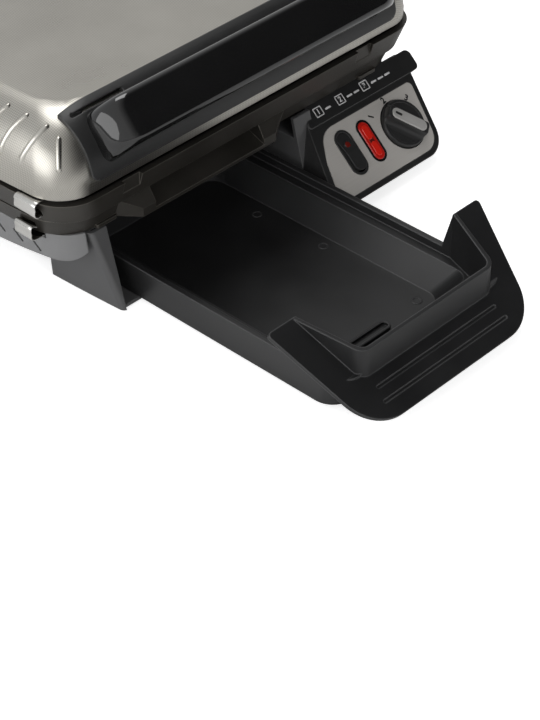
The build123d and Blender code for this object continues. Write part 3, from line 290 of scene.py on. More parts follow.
def finish(name, dark, light, rough, edge_highlight_tone, grain=(1500.0, 0.00003), soft=0.0006, metal=0.0, coat=0.0):
    """Surface whose tone drifts between two colours, with a painted highlight along its rounded edges."""
    material, tree, shader = new_material(name)
    skin = skin_node(tree, Grain_Scale=grain[0], Grain_Depth=grain[1], Edge_Round=soft)
    drift = blend(tree, skin["Tone"], (*dark, 1.0), (*light, 1.0))
    # The colour turns to the edge tone along the rounded edges: a painted highlight.
    feed(tree, shader, Metallic=metal, Coat_Weight=coat, Coat_Roughness=0.05,
         Base_Color=blend(tree, skin["Edge"], drift, (*edge_highlight_tone, 1.0)),
         Roughness=stretch(tree, skin["Tone"], *rough), Normal=skin["Normal"])
    return material


def dress(material, *names):
    """Give CAD nodes their finish."""
    for name in names:
        for socket in nodes[name].material_slots:
            socket.material = material


def merged_copy(node_name, name, body):
    """A new piece with a CAD node's shape, its loose triangles joined."""
    piece = nodes[node_name].copy()
    piece.data = nodes[node_name].data.copy()
    piece.name = name
    piece.parent = None
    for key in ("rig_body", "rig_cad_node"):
        del piece[key]
    bpy.context.scene.collection.objects.link(piece)
    take(piece)
    bpy.ops.object.mode_set(mode="EDIT")
    bpy.ops.mesh.select_all(action="SELECT")
    bpy.ops.mesh.remove_doubles(threshold=0.000005)
    bpy.ops.object.mode_set(mode="OBJECT")
    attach(piece, body)
    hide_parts(node_name)
    return piece


def unrolled(height):
    """How much longer the sheet is than its plan, from the flat top down to a height."""
    length, last, reach = 0.0, (LID_RUN, 0.0), 0.0
    for step in range(1, CURL_STEPS + 1):
        angle = math.radians(90.0 * (1 - step / CURL_STEPS))
        if LID_WALL_Z + LID_RISE * math.sin(angle) < height:
            break
        here = (LID_RUN * (1 - math.cos(angle)), LID_RISE * (1 - math.sin(angle)))
        length += math.hypot(here[0] - last[0], here[1] - last[1])
        last = here
        reach = LID_RUN - here[0]
    return length - reach + max(0.0, LID_WALL_Z - height)


def even_out(piece, angle):
    """Smooth shading whose normals follow the larger faces, so that flats stay flat."""
    take(piece)
    bpy.ops.object.shade_smooth_by_angle(angle=math.radians(angle))
    weigh = piece.modifiers.new("weigh", "WEIGHTED_NORMAL")
    weigh.mode = "FACE_AREA"
    weigh.weight = 80
    weigh.keep_sharp = True
    bpy.ops.object.modifier_apply(modifier=weigh.name)


lid_sheet = merged_copy("lid_shell", "lid_sheet", "lid")
even_out(lid_sheet, 35)
linen_map = lid_sheet.data.uv_layers.new(name="linen")
lid_sheet.data.uv_layers.active = linen_map
sheet_points = lid_sheet.data.vertices
for loop in lid_sheet.data.loops:
    point = sheet_points[loop.vertex_index]
    outward = Vector((point.normal.x, point.normal.y, 0.0))
    flat = Vector((point.co.x, point.co.y, 0.0))
    if outward.length > CURL_LEAN:
        flat += outward.normalized() * unrolled(point.co.z)
    linen_map.data[loop.index].uv = (flat.x, flat.y)

linen_steel, steel_tree, steel_shader = new_material("linen_steel")
sheet_map = steel_tree.nodes.new("ShaderNodeUVMap")
sheet_map.uv_map = "linen"
sheet_place = split(steel_tree, sheet_map.outputs["UV"])
waves = []
for sign in (1.0, -1.0):
    across = reckon(steel_tree, "MULTIPLY_ADD", sheet_place["Y"], sign, sheet_place["X"])
    phase = reckon(steel_tree, "MULTIPLY", across, 2 * math.pi / (LINEN_PITCH * math.sqrt(2.0)))
    waves.append(reckon(steel_tree, "SINE", phase))
linen = reckon(steel_tree, "MULTIPLY", *waves)
steel_drift = skin_node(steel_tree)["Tone"]
steel_calm = stretch(steel_tree, steel_drift, 0.36, 0.62)
# The weave's raised lines are painted lighter and its grooves darker: painted light and shade over the
# steel's slow tone drift.
steel_drift_and_weave_shade = reckon(steel_tree, "MULTIPLY_ADD", linen, LINEN_PAINTED_SHADE, steel_calm)
feed(steel_tree, steel_shader, Metallic=1.0,
     Base_Color=blend(steel_tree, steel_drift_and_weave_shade, STEEL_DARK, STEEL_LIGHT),
     Roughness=stretch(steel_tree, steel_drift, 0.27, 0.31), Normal=emboss(steel_tree, linen, LINEN_DEPTH))
lid_sheet.data.materials.clear()
lid_sheet.data.materials.append(linen_steel)

# Stiffening beads, pressed up out of the lid sheet round its corners and along its sides. Each
# is a long low ridge with rounded ends that runs over the curled edge. Their steel is painted
# paler than the sheet's, a painted highlight.
BEAD_WIDTH = 0.0034
BEAD_HEIGHT = 0.0009
BEAD_SUNK = 0.0004
BEAD_WALL = 0.0005
BEAD_FULLNESS = 0.6
BEAD_RIM = 0.98
ABOVE_LID = 0.3
BEAD_RUNS = [
    ((-155.9, -1.6), (-160.5, -6.1), (-163.9, -9.4)), ((-155.6, 10.0), (-164.5, 12.3), (-172.3, 16.3)),
    ((-157.1, 27.7), (-166.0, 31.9), (-173.1, 34.6)), ((-157.6, 44.7), (-166.5, 48.5), (-174.4, 51.0)),
]


def lid_point(x, y):
    """Point and normal on the lid's outer skin, straight below (x, y)."""
    return lid_sheet.ray_cast(Vector((x, y, ABOVE_LID)), Vector((0, 0, -1)))[1:3]


def press_bead(name, start, middle, end):
    """Flat grid, laid along the curved run and raised like a capsule."""
    start_fresh()
    bpy.ops.mesh.primitive_grid_add(x_subdivisions=44, y_subdivisions=10, size=1.0)
    bead = bpy.context.object
    bead.name = name
    start, middle, end = (Vector((*spot, 0.0)) for spot in (start, middle, end))
    pull = 2 * middle - (start + end) / 2
    half = BEAD_WIDTH / 2
    reach = (end - start).length / 2
    for point in bead.data.vertices:
        along = point.co.x * (2 * reach + BEAD_WIDTH)
        off = point.co.y * BEAD_WIDTH
        beyond = max(0.0, abs(along) - reach)
        span = math.hypot(beyond, off) / half
        if span > 1.0:
            along = math.copysign(reach + beyond / span, along) if beyond else along
            off /= span
            span = 1.0
        share = 0.5 + along / (2 * reach)
        plan = start * (1 - share) ** 2 + pull * 2 * share * (1 - share) + end * share ** 2
        heading = (pull - start) * (1 - share) + (end - pull) * share
        plan += heading.normalized().cross(Vector((0, 0, 1))) * off
        place, normal = lid_point(plan.x, plan.y)
        crown = (0.5 + 0.5 * math.cos(math.pi * span)) ** BEAD_FULLNESS
        rise = BEAD_HEIGHT * crown - BEAD_SUNK * (span > BEAD_RIM)
        point.co = place + normal * rise
    wall = bead.modifiers.new("wall", "SOLIDIFY")
    wall.thickness = BEAD_WALL
    wall.offset = -1.0
    bpy.ops.object.modifier_apply(modifier=wall.name)
    bpy.ops.object.shade_smooth_by_angle(angle=math.radians(50))
    bead.data.materials.append(bead_painted_highlight)
    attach(bead, "lid")


# The same steel as the sheet, painted paler: a painted highlight on the beads.
bead_painted_highlight = finish("bead_painted_highlight", (0.52, 0.50, 0.45), (0.60, 0.58, 0.53), (0.22, 0.28),
                      (0.66, 0.64, 0.60), grain=(300.0, 0.0), metal=1.0)
for index, run in enumerate(BEAD_RUNS):
    for side, word in ((1, "left"), (-1, "right")):
        press_bead(f"lid_bead_{word}_{index}", *((side * x * MM, y * MM) for x, y in run))

# Inner frame of the lid: dark glass-filled moulding that carries the upper plate. Its edge shows
# as a thin dark line below the steel, and its two lugs reach down to the hinge rod.
frame_moulding = finish("frame_moulding", (0.020, 0.020, 0.021), (0.030, 0.030, 0.031), (0.42, 0.52),
                        (0.07, 0.07, 0.07))
dress(frame_moulding, "lid_frame")

# Surround of the handle: matt black moulding that hugs the front of the lid. Two narrow slots
# lie along its top edge, and it swells round each leg of the handle.
TRIM_SLOT_LENGTH = 0.045
TRIM_SLOT_WIDTH = 0.0032
TRIM_SLOT_DEPTH = 0.0022
TRIM_SLOT_PLACE = (0.1195, 0.0012, 0.1452)
TRIM_SLOT_LEAN = math.radians(28)
LEVEL = 0.00001


def slot_block(name, length, width, low, high, soft=0.0, steps=28):
    """Block with round ends: a disc drawn apart, pushed up and softened at the top."""
    start_fresh()
    bpy.ops.mesh.primitive_circle_add(vertices=2 * steps, radius=width / 2, fill_type="NGON",
                                      location=(0, 0, low))
    block = bpy.context.object
    block.name = name
    bpy.ops.object.transform_apply(location=True)
    shift = (length - width) / 2
    for point in block.data.vertices:
        point.co.x += shift if point.co.x > 0 else -shift
    bpy.ops.object.mode_set(mode="EDIT")
    bpy.ops.mesh.select_all(action="SELECT")
    bpy.ops.mesh.extrude_region_move(TRANSFORM_OT_translate={"value": (0, 0, high - low)})
    if soft:
        pick_edges(block, lambda a, b: min(a.z, b.z) > high - LEVEL)
        bpy.ops.mesh.bevel(offset=soft, segments=4)
    bpy.ops.mesh.select_all(action="SELECT")
    bpy.ops.mesh.normals_make_consistent(inside=False)
    bpy.ops.object.mode_set(mode="OBJECT")
    return block


def pick_faces(piece, test):
    """Select faces by their middle and normal, in face mode."""
    bpy.ops.object.mode_set(mode="EDIT")
    bpy.context.tool_settings.mesh_select_mode = (False, False, True)
    bpy.ops.mesh.select_all(action="DESELECT")
    bpy.ops.object.mode_set(mode="OBJECT")
    for face in piece.data.polygons:
        face.select = test(face.center, face.normal)
    bpy.ops.object.mode_set(mode="EDIT")


def pick_edges(piece, test):
    """Select edges by their two ends, in edge mode."""
    bpy.ops.object.mode_set(mode="EDIT")
    bpy.context.tool_settings.mesh_select_mode = (False, True, False)
    bpy.ops.mesh.select_all(action="DESELECT")
    bpy.ops.object.mode_set(mode="OBJECT")
    points = piece.data.vertices
    for edge in piece.data.edges:
        edge.select = test(points[edge.vertices[0]].co, points[edge.vertices[1]].co)
    bpy.ops.object.mode_set(mode="EDIT")


def place_piece(piece, matrix):
    """Put the mesh in its place and leave the object at the origin."""
    bpy.ops.object.mode_set(mode="OBJECT")
    piece.data.transform(matrix @ piece.matrix_world)
    piece.matrix_world = Matrix.Identity(4)


def cut_recess(piece, place, length, width, depth):
    """Sink a long recess with round ends into a piece, square to the local XY plane of the place."""
    tool = slot_block("recess_tool", length, width, low=-depth, high=0.01)
    place_piece(tool, place)
    take(piece)
    recess = piece.modifiers.new("recess", "BOOLEAN")
    recess.operation = "DIFFERENCE"
    recess.object = tool
    bpy.ops.object.modifier_apply(modifier=recess.name)
    bpy.data.objects.remove(tool)


surround_black = finish("surround_black", (0.014, 0.014, 0.014), (0.020, 0.020, 0.020), (0.34, 0.42),
                        (0.06, 0.06, 0.06), grain=(1700.0, 0.00002), soft=0.0012)
handle_trim = merged_copy("handle_bezel", "handle_trim", "lid")
for side in (-1, 1):
    trim_slot = Matrix.Translation((side * TRIM_SLOT_PLACE[0], *TRIM_SLOT_PLACE[1:]))
    trim_slot = trim_slot @ Matrix.Rotation(TRIM_SLOT_LEAN, 4, "X")
    cut_recess(handle_trim, trim_slot, TRIM_SLOT_LENGTH, TRIM_SLOT_WIDTH, TRIM_SLOT_DEPTH)
even_out(handle_trim, 35)
handle_trim.data.materials.clear()
handle_trim.data.materials.append(surround_black)

# Handle: one fat gloss-black bridge, moulded hollow and screwed on from inside the lid. Two
# short legs turn in a round bend into the bar, and fingers go behind it.
GRIP_HALF = 0.1365
GRIP_BREADTH = 0.034
GRIP_RISE = 0.027
GRIP_THICK = 0.0145
GRIP_LEG = 0.022
GRIP_FULLNESS = 0.66
GRIP_SUNK = 0.007
GRIP_BEND = 0.023
GRIP_CROOK = 0.009
BEND_STEP = 7.5
RING_STEPS = 40
SHOULDER = Vector((0.0, -0.01254, 0.1301))
SHOULDER_TILT = math.radians(45.0)


def full_ring(half_wide, half_thick):
    """Outline between an ellipse and a rectangle, as (wide, thick) pairs."""
    ring = []
    for step in range(RING_STEPS):
        angle = 2 * math.pi * step / RING_STEPS
        wide, thick = math.cos(angle), math.sin(angle)
        ring.append((math.copysign(abs(wide) ** GRIP_FULLNESS, wide) * half_wide,
                     math.copysign(abs(thick) ** GRIP_FULLNESS, thick) * half_thick))
    return ring


def bridge_stations():
    """Outer and inner points of the bridge from one foot over the bar to the other foot."""
    turns = [math.radians(BEND_STEP * step) for step in range(round(90 / BEND_STEP) + 1)]
    first = [((-GRIP_HALF, -GRIP_SUNK), (-GRIP_HALF + GRIP_LEG, -GRIP_SUNK))]
    for turn in turns:
        outer = (-GRIP_HALF + GRIP_BEND * (1 - math.cos(turn)),
                 GRIP_RISE - GRIP_BEND * (1 - math.sin(turn)))
        inner = (-GRIP_HALF + GRIP_LEG + GRIP_CROOK * (1 - math.cos(turn)),
                 GRIP_RISE - GRIP_THICK - GRIP_CROOK * (1 - math.sin(turn)))
        first.append((outer, inner))
    last = [((-outer[0], outer[1]), (-inner[0], inner[1])) for outer, inner in reversed(first)]
    return first + last


start_fresh()
bpy.ops.mesh.primitive_circle_add(vertices=RING_STEPS, radius=GRIP_BREADTH / 2)
grip = bpy.context.object
grip.name = "handle_grip"
sections = []
for outer, inner in bridge_stations():
    outer, inner = Vector((outer[0], 0, outer[1])), Vector((inner[0], 0, inner[1]))
    out = (outer - inner).normalized()
    ring = full_ring(GRIP_BREADTH / 2, (outer - inner).length / 2)
    sections.append([(outer + inner) / 2 + out * thick + Vector((0, wide, 0)) for wide, thick in ring])
for index, section in enumerate(sections):
    if index:
        bpy.ops.object.mode_set(mode="EDIT")
        bpy.ops.mesh.extrude_region_move(TRANSFORM_OT_translate={"value": (0, 0, 0.001)})
        bpy.ops.object.mode_set(mode="OBJECT")
    chosen = [point for point in grip.data.vertices if point.select]
    for point, spot in zip(chosen, section):
        point.co = spot
for flank in (-1, 1):
    pick_edges(grip, lambda a, b: max(a.z, b.z) < 0.0001 - GRIP_SUNK and a.x * flank > 0)
    bpy.ops.mesh.edge_face_add()
bpy.ops.mesh.select_all(action="SELECT")
bpy.ops.mesh.normals_make_consistent(inside=False)
bpy.ops.object.mode_set(mode="OBJECT")
place_piece(grip, Matrix.Translation(SHOULDER) @ Matrix.Rotation(SHOULDER_TILT, 4, "X"))
take(grip)
bpy.ops.object.shade_smooth_by_angle(angle=math.radians(40))
gloss_black = finish("gloss_black", (0.005, 0.005, 0.005), (0.007, 0.007, 0.007), (0.04, 0.08),
                     (0.02, 0.02, 0.02), grain=(120.0, 0.00001), soft=0.0004, coat=0.6)
grip.data.materials.append(gloss_black)
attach(grip, "lid")
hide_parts("handle")

zinc = finish("zinc", (0.42, 0.42, 0.43), (0.55, 0.55, 0.56), (0.28, 0.40), (0.7, 0.7, 0.7), metal=1.0)
dress(zinc, "handle_screws", "base_screws")

# Grill plates: die-cast aluminium with ribs, under a grey-brown metallic non-stick coat. The
# lower one drains through a spout at the front into the tray.
nonstick = finish("nonstick_coat", (0.040, 0.037, 0.032), (0.062, 0.057, 0.050), (0.34, 0.46),
                  (0.16, 0.15, 0.13), grain=(2600.0, 0.00004), soft=0.0008, metal=0.55)
dress(nonstick, "upper_plate", "lower_plate")

# Heating: dark tubular elements on sheet posts over pressed aluminium reflectors, one set in
# each half, and a plain bright sheet between the lower one and the drip tray.
heater_tube = finish("heater_tube", (0.030, 0.028, 0.026), (0.060, 0.052, 0.045), (0.45, 0.6),
                     (0.12, 0.11, 0.10), metal=0.8)
bright_sheet = finish("bright_sheet", (0.62, 0.63, 0.64), (0.74, 0.75, 0.76), (0.25, 0.38),
                      (0.85, 0.85, 0.86), grain=(300.0, 0.00001), metal=1.0)
dress(heater_tube, "lower_heater", "upper_heater")
dress(bright_sheet, "lower_reflector", "upper_reflector", "lower_heater_posts", "upper_heater_posts",
      "tray_shield")

# Spring clips: bent strips of bright spring steel at the sides, one pair for each plate. A clip
# is pressed outwards to let its plate go.
spring_steel = finish("spring_steel", (0.60, 0.59, 0.56), (0.74, 0.73, 0.70), (0.16, 0.26),
                      (0.85, 0.84, 0.82), grain=(700.0, 0.00001), metal=1.0)
UPPER_STRIP = [(165.5, 97.1), (174.0, 97.5), (178.6, 97.2), (180.3, 95.0), (179.3, 92.4), (180.6, 89.6),
               (179.2, 86.6), (176.6, 86.2), (174.2, 86.5)]
LOWER_STRIP = [(159.0, 60.4), (168.5, 60.2), (173.6, 60.8), (175.0, 63.0), (174.2, 66.0), (175.2, 69.0),
               (173.0, 72.0), (170.6, 70.2), (169.4, 69.6)]
CLIP_STRIPS = (("upper", UPPER_STRIP, -0.0021, 0.020), ("lower", LOWER_STRIP, 0.0099, 0.016))
CLIP_SHEET = 0.0009
CLIP_EDGE = 0.0002
CLIP_EDGE_ANGLE = math.radians(50)


def bend_strip(name, profile, front, width, side, body, node):
    """Strip of sheet, extruded bend by bend from one edge, then given its thickness."""
    start_fresh()
    bpy.ops.mesh.primitive_plane_add(size=1.0)
    strip = bpy.context.object
    strip.name = name
    bpy.ops.object.mode_set(mode="EDIT")
    bpy.ops.mesh.select_all(action="DESELECT")
    bpy.context.tool_settings.mesh_select_mode = (True, False, False)
    bpy.ops.object.mode_set(mode="OBJECT")
    for point in strip.data.vertices:
        point.select = point.co.x > 0
    bpy.ops.object.mode_set(mode="EDIT")
    bpy.ops.mesh.delete(type="VERT")
    bpy.ops.object.mode_set(mode="OBJECT")
    first = Vector((side * profile[0][0] * MM, 0, profile[0][1] * MM))
    for point in strip.data.vertices:
        point.co = first + Vector((0, front + (width if point.co.y > 0 else 0.0), 0))
        point.select = True
    bpy.ops.object.mode_set(mode="EDIT")
    bpy.context.tool_settings.mesh_select_mode = (False, True, False)
    bpy.ops.mesh.select_all(action="SELECT")
    for (x0, z0), (x1, z1) in zip(profile, profile[1:]):
        step = (side * (x1 - x0) * MM, 0, (z1 - z0) * MM)
        bpy.ops.mesh.extrude_region_move(TRANSFORM_OT_translate={"value": step})
    bpy.ops.object.mode_set(mode="OBJECT")
    for kind, settings in (
        ("SUBSURF", {"levels": 2, "render_levels": 2, "boundary_smooth": "PRESERVE_CORNERS"}),
        ("SOLIDIFY", {"thickness": CLIP_SHEET, "offset": 0.0}),
        ("BEVEL", {"width": CLIP_EDGE, "segments": 2, "limit_method": "ANGLE",
                   "angle_limit": CLIP_EDGE_ANGLE}),
    ):
        stage = strip.modifiers.new(kind.lower(), kind)
        for key, value in settings.items():
            setattr(stage, key, value)
        bpy.ops.object.modifier_apply(modifier=stage.name)
    bpy.ops.object.mode_set(mode="EDIT")
    bpy.ops.mesh.select_all(action="SELECT")
    bpy.ops.mesh.normals_make_consistent(inside=False)
    bpy.ops.object.mode_set(mode="OBJECT")
    bpy.ops.object.shade_smooth_by_angle(angle=math.radians(40))
    strip.data.materials.append(spring_steel)
    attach(strip, body)
    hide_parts(node)


for side, word in ((-1, "left"), (1, "right")):
    for level, profile, front, width in CLIP_STRIPS:
        bend_strip(f"{level}_strip_{word}", profile, front, width, side, f"{level}_{word}_clip",
                   f"{level}_clip_{word}")

# Side skins: satin graphite mouldings with a row of slanted vents. They are clipped to the tub on
# both sides, just below the plates.
graphite = finish("graphite_satin", (0.150, 0.150, 0.152), (0.180, 0.180, 0.182), (0.20, 0.28),
                  (0.16, 0.16, 0.16), grain=(1600.0, 0.000015), soft=0.0012, coat=0.7)
dress(graphite, "side_shell_left", "side_shell_right")

# Tub of the base: dark grey moulding on four legs with the drip tray's tunnel through it. A
# black plate closes the wiring bay from below, and four thin rubber pads stand on the table.
tub_grey = finish("tub_grey", (0.070, 0.070, 0.071), (0.088, 0.088, 0.089), (0.36, 0.46),
                  (0.12, 0.12, 0.12), soft=0.001)
cover_black = finish("cover_black", (0.022, 0.022, 0.022), (0.030, 0.030, 0.030), (0.5, 0.6),
                     (0.07, 0.07, 0.07))
pad_rubber = finish("pad_rubber", (0.018, 0.018, 0.018), (0.026, 0.026, 0.026), (0.7, 0.85),
                    (0.05, 0.05, 0.05), grain=(900.0, 0.00006))
dress(tub_grey, "base_housing")
dress(cover_black, "base_cover")
dress(pad_rubber, "feet", "cord_gland")

# Hinge: a ground steel rod through two flat guides that slide up in the towers, so that the lid
# stays level on thick food. Push-on washers hold the rod.
ground_steel = finish("ground_steel", (0.45, 0.45, 0.46), (0.56, 0.56, 0.57), (0.18, 0.28), (0.7, 0.7, 0.7),
                      grain=(1200.0, 0.00001), metal=1.0)
dress(ground_steel, "float_guide_left", "float_guide_right", "hinge_shaft", "shaft_clips", "dial_shaft")

# Control block: black moulding that hangs below the plate's right front, with a raised ledge and
# a brushed warm-grey plate let into its slope.
PANEL_TILT = math.radians(47.5)
PANEL_ORIGIN = Vector((0.0, -0.0101, 0.058))
PLATE_OUT = 0.0003
LEDGE_OUT = 0.001
LEDGE_DOWN = 3.6
DIAL_X, DIAL_DOWN = 137.1, 41.7
DIAL_FIGURES = (("1", 115.5, 25.6), ("2", 133.2, 20.0), ("3", 153.5, 26.6))
DIAL_FIGURE_SIZE = 0.0066
INK_FILM = 0.0001
LEDGE_MARKS = ((76.0, 1), (99.0, 2), (125.2, 3))
LEDGE_FIGURE_SIZE = 0.0056
BOX_WIDTH, BOX_HEIGHT, BOX_LINE, BOX_CORNER = 0.0080, 0.0074, 0.0008, 0.0008
DASH_LENGTH, DASH_WIDTH = 0.0058, 0.0016
DASH_OFF, DASH_PITCH, DASH_DROP = 9.4, 7.4, 0.8
BRUSH_SCALE = (30.0, 2600.0, 2600.0)
BRUSH_DEPTH = 0.00001
block_black = finish("block_black", (0.016, 0.016, 0.016), (0.023, 0.023, 0.023), (0.30, 0.38),
                     (0.07, 0.07, 0.07), grain=(1600.0, 0.00002), soft=0.001)
dress(block_black, "panel_block")

brushed_grey, brush_tree, brush_shader = new_material("brushed_grey")
brush_turn = feed(brush_tree, brush_tree.nodes.new("ShaderNodeMapping"),
                  Vector=brush_tree.nodes.new("ShaderNodeTexCoord").outputs["Object"],
                  Rotation=(-(math.pi / 2 - PANEL_TILT), 0, 0), Scale=BRUSH_SCALE)
brush_lines = clouds(brush_tree, brush_turn.outputs["Vector"], 1.0, 4.0)
feed(brush_tree, brush_shader, Metallic=0.15,
     Base_Color=blend(brush_tree, brush_lines, (0.44, 0.42, 0.395, 1.0), (0.54, 0.52, 0.49, 1.0)),
     Roughness=stretch(brush_tree, brush_lines, 0.36, 0.52),
     Normal=emboss(brush_tree, brush_lines, BRUSH_DEPTH))
dress(brushed_grey, "panel_face")


def on_slope(x, down, out, turn=0.0):
    """Place on the panel's slope: x and down in millimetres, out in metres."""
    lean = Matrix.Translation(PANEL_ORIGIN) @ Matrix.Rotation(math.pi / 2 - PANEL_TILT, 4, "X")
    return lean @ Matrix.Translation((x * MM, -down * MM, out)) @ Matrix.Rotation(turn, 4, "Z")


def settle(piece, matrix, material, body, smooth=40):
    """Place a finished piece, give it its finish and say what it rides on."""
    place_piece(piece, matrix)
    take(piece)
    bpy.ops.object.shade_smooth_by_angle(angle=math.radians(smooth))
    piece.data.materials.clear()
    piece.data.materials.append(material)
    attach(piece, body)


def printed(name, text, size, matrix, material, boldness=0.0002):
    """Figure printed on a surface, a thin film of ink."""
    start_fresh()
    bpy.ops.object.text_add()
    figure = bpy.context.object
    figure.name = name
    figure.data.body = text
    figure.data.size = size
    figure.data.align_x = "CENTER"
    figure.data.align_y = "CENTER"
    figure.data.extrude = INK_FILM / 2
    figure.data.offset = boldness
    bpy.ops.object.convert(target="MESH")
    settle(bpy.context.object, matrix, material, "base")


ink_black = finish("ink_black", (0.010, 0.010, 0.010), (0.014, 0.014, 0.014), (0.45, 0.5),
                   (0.03, 0.03, 0.03))
ink_white = finish("ink_white", (0.62, 0.62, 0.62), (0.72, 0.72, 0.72), (0.45, 0.5), (0.8, 0.8, 0.8))
for figure, x, down in DIAL_FIGURES:
    turn = math.atan2(DIAL_X - x, DIAL_DOWN - down)
    printed(f"dial_figure_{figure}", figure, DIAL_FIGURE_SIZE, on_slope(x, down, PLATE_OUT, turn), ink_black,
            boldness=0.00025)


def outline_box(name, place):
    """Square outline: a plane, inset, its middle taken out, and the rest given a film's height."""
    start_fresh()
    bpy.ops.mesh.primitive_plane_add(size=1.0)
    frame_mark = bpy.context.object
    frame_mark.name = name
    frame_mark.scale = (BOX_WIDTH, BOX_HEIGHT, 1.0)
    bpy.ops.object.transform_apply(scale=True)
    bpy.ops.object.mode_set(mode="EDIT")
    bpy.ops.mesh.select_all(action="SELECT")
    bpy.ops.mesh.bevel(offset=BOX_CORNER, segments=3, affect="VERTICES")
    bpy.ops.mesh.select_all(action="SELECT")
    bpy.ops.mesh.inset(thickness=BOX_LINE)
    bpy.ops.mesh.delete(type="FACE")
    bpy.ops.object.mode_set(mode="OBJECT")
    film = frame_mark.modifiers.new("film", "SOLIDIFY")
    film.thickness = INK_FILM
    film.offset = 1.0
    bpy.ops.object.modifier_apply(modifier=film.name)
    settle(frame_mark, place, ink_white, "base")


for x, number in LEDGE_MARKS:
    mark_place = on_slope(x, LEDGE_DOWN, LEDGE_OUT)
    outline_box(f"ledge_box_{number}", mark_place)
    printed(f"ledge_figure_{number}", str(number), LEDGE_FIGURE_SIZE, mark_place, ink_white)
    for count in range(number):
        dash = slot_block(f"ledge_bar_{number}_{count}", DASH_LENGTH, DASH_WIDTH, 0.0, INK_FILM, steps=6)
        dash_place = on_slope(x + DASH_OFF + DASH_PITCH * count, LEDGE_DOWN + DASH_DROP, LEDGE_OUT)
        settle(dash, dash_place, ink_white, "base")

# Dial: black moulded disc with a waisted grip bar across it, and a bright bar let into the top
# that points at the heat setting.
DIAL_TURN = math.radians(130.0)
DISC_R = 0.0185
DISC_FOOT = -0.0055
DISC_TOP = 0.0034
DISC_SOFT = 0.0016
DISC_LIP, DISC_DISH = 0.0010, 0.0006
BAR_SIZE = (0.0352, 0.0108, 0.0070)
BAR_MIDDLE = 0.0060
BAR_FLARE = {0.0025: 2.0, 0.0035: 1.45, 0.0045: 1.16, 0.0060: 1.0}
BAR_TOP_SHARE = 0.94
BAR_TOP = BAR_MIDDLE + BAR_SIZE[2] / 2
BAR_TAPER, BAR_TAPER_ABOVE = 0.012, 0.008
BAR_CORNER, BAR_SOFT, BAR_TRIM = 0.0022, 0.0008, 0.0006
TRIMMER_DEPTH = 0.03
DIAL_MARK_OFF = 0.0098
start_fresh()
bpy.ops.mesh.primitive_cylinder_add(vertices=96, radius=DISC_R, depth=DISC_TOP - DISC_FOOT,
                                    location=(0, 0, (DISC_TOP + DISC_FOOT) / 2))
disc = bpy.context.object
disc.name = "dial_disc"
bpy.ops.object.transform_apply(location=True)
pick_edges(disc, lambda a, b: min(a.z, b.z) > DISC_TOP - LEVEL)
bpy.ops.mesh.bevel(offset=DISC_SOFT, segments=5)
pick_faces(disc, lambda middle, normal: normal.z > 0.99 and middle.length < 0.01)
bpy.ops.mesh.inset(thickness=DISC_LIP)
bpy.ops.mesh.extrude_region_move(TRANSFORM_OT_translate={"value": (0, 0, -DISC_DISH)})
dial_black = finish("dial_black", (0.018, 0.018, 0.018), (0.025, 0.025, 0.025), (0.30, 0.38),
                    (0.07, 0.07, 0.07), grain=(1500.0, 0.00002))
dial_place = on_slope(DIAL_X, DIAL_DOWN, 0.0, DIAL_TURN)
settle(disc, dial_place, dial_black, "dial")

start_fresh()
bpy.ops.mesh.primitive_cube_add(size=1.0, location=(0, 0, BAR_MIDDLE), scale=BAR_SIZE)
bar = bpy.context.object
bar.name = "dial_grip"
bpy.ops.object.transform_apply(location=True, scale=True)
bpy.ops.object.mode_set(mode="EDIT")
for height in sorted(BAR_FLARE)[1:]:
    bpy.ops.mesh.select_all(action="SELECT")
    bpy.ops.mesh.bisect(plane_co=(0, 0, height), plane_no=(0, 0, 1))
bpy.ops.object.mode_set(mode="OBJECT")
for point in bar.data.vertices:
    point.co.y *= BAR_FLARE.get(round(point.co.z, 4), BAR_TOP_SHARE)
    point.co.x *= 1.0 - BAR_TAPER * (point.co.z > BAR_TAPER_ABOVE)
pick_edges(bar, lambda a, b: abs(a.x - b.x) < 0.001 and abs(a.y - b.y) < 0.003
           and abs(a.z - b.z) > 0.0005)
bpy.ops.mesh.bevel(offset=BAR_CORNER, segments=4)
pick_edges(bar, lambda a, b: min(a.z, b.z) > BAR_TOP - LEVEL)
bpy.ops.mesh.bevel(offset=BAR_SOFT, segments=3)
bpy.ops.object.mode_set(mode="OBJECT")
bpy.ops.mesh.primitive_cylinder_add(vertices=96, radius=DISC_R - BAR_TRIM, depth=TRIMMER_DEPTH)
trimmer = bpy.context.object
take(bar)
trim = bar.modifiers.new("trim", "BOOLEAN")
trim.operation = "INTERSECT"
trim.object = trimmer
bpy.ops.object.modifier_apply(modifier=trim.name)
bpy.data.objects.remove(trimmer)
settle(bar, dial_place, dial_black, "dial", smooth=30)
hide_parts("dial_knob")

bright_bar = finish("bright_bar", (0.46, 0.45, 0.43), (0.56, 0.55, 0.53), (0.28, 0.36),
                    (0.80, 0.80, 0.79), grain=(900.0, 0.00001), soft=0.0005, metal=0.4)
pointer = slot_block("dial_bright_bar", length=0.030, width=0.0084, low=0.0085, high=0.0104, soft=0.0007)
settle(pointer, dial_place, bright_bar, "dial")
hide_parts("dial_pointer")
mark = slot_block("dial_mark", length=0.0058, width=0.0020, low=0.0100, high=0.0105)
settle(mark, dial_place @ Matrix.Translation((DIAL_MARK_OFF, 0, 0)), ink_black, "dial")
